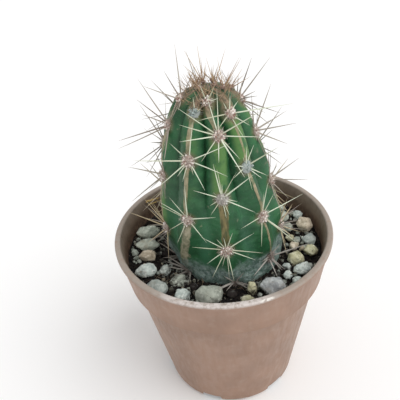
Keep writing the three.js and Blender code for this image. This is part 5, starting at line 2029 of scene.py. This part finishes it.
class BuildStones(bpy.types.Operator):
    """Makes the rough gravel on the soil"""
    bl_idname = "cactus.stones"
    bl_label = "Gravel"

    def execute(self, context):
        make_stones(context.scene.cactus_gravel)
        return {"FINISHED"}


class BuildStem(bpy.types.Operator):
    """Makes the ribbed green stem"""
    bl_idname = "cactus.stem"
    bl_label = "Stem"

    def execute(self, context):
        make_stem(context.scene.cactus_plant)
        return {"FINISHED"}


class BuildSpines(bpy.types.Operator):
    """Grows the spines on the areoles"""
    bl_idname = "cactus.spines"
    bl_label = "Spines"

    def execute(self, context):
        make_spines(context.scene.cactus_plant)
        return {"FINISHED"}


class BuildKnobs(bpy.types.Operator):
    """Swells the bases of the spines"""
    bl_idname = "cactus.knobs"
    bl_label = "Spine knobs"

    def execute(self, context):
        make_knobs(context.scene.cactus_plant)
        return {"FINISHED"}


class BuildWool(bpy.types.Operator):
    """Grows the felt of the areoles"""
    bl_idname = "cactus.wool"
    bl_label = "Areole wool"

    def execute(self, context):
        make_wool(context.scene.cactus_plant)
        return {"FINISHED"}


OPERATORS = [
    BuildStage, BuildPot, BuildSoil, BuildStraw, BuildStones, BuildStem, BuildSpines, BuildKnobs, BuildWool,
]
GROUPS = {
    "cactus_pot": PotSettings,
    "cactus_soil": SoilSettings,
    "cactus_gravel": GravelSettings,
    "cactus_plant": CactusSettings,
    "cactus_stage": StageSettings,
}


class CactusPanel(bpy.types.Panel):
    """Lists what builds the potted cactus"""
    bl_idname = "VIEW3D_PT_cactus"
    bl_label = "Potted cactus"
    bl_space_type = "VIEW_3D"
    bl_region_type = "UI"
    bl_category = "Cactus"

    def draw(self, context):
        for operator in OPERATORS:
            self.layout.operator(operator.bl_idname)
        for name, group in GROUPS.items():
            box = self.layout.box()
            for setting in group.__annotations__:
                box.prop(getattr(context.scene, name), setting)


def register():
    for kind in [*GROUPS.values(), *OPERATORS, CactusPanel]:
        bpy.utils.register_class(kind)
    for name, group in GROUPS.items():
        setattr(bpy.types.Scene, name, PointerProperty(type=group))


def unregister():
    for name in GROUPS:
        delattr(bpy.types.Scene, name)
    for kind in reversed([*GROUPS.values(), *OPERATORS, CactusPanel]):
        bpy.utils.unregister_class(kind)


def main():
    register()
    bpy.ops.cactus.stage()
    bpy.ops.cactus.pot()
    bpy.ops.cactus.soil()
    bpy.ops.cactus.straw()
    bpy.ops.cactus.stones()
    bpy.ops.cactus.stem()
    bpy.ops.cactus.spines()
    bpy.ops.cactus.knobs()
    bpy.ops.cactus.wool()


if __name__ == "__main__":
    main()
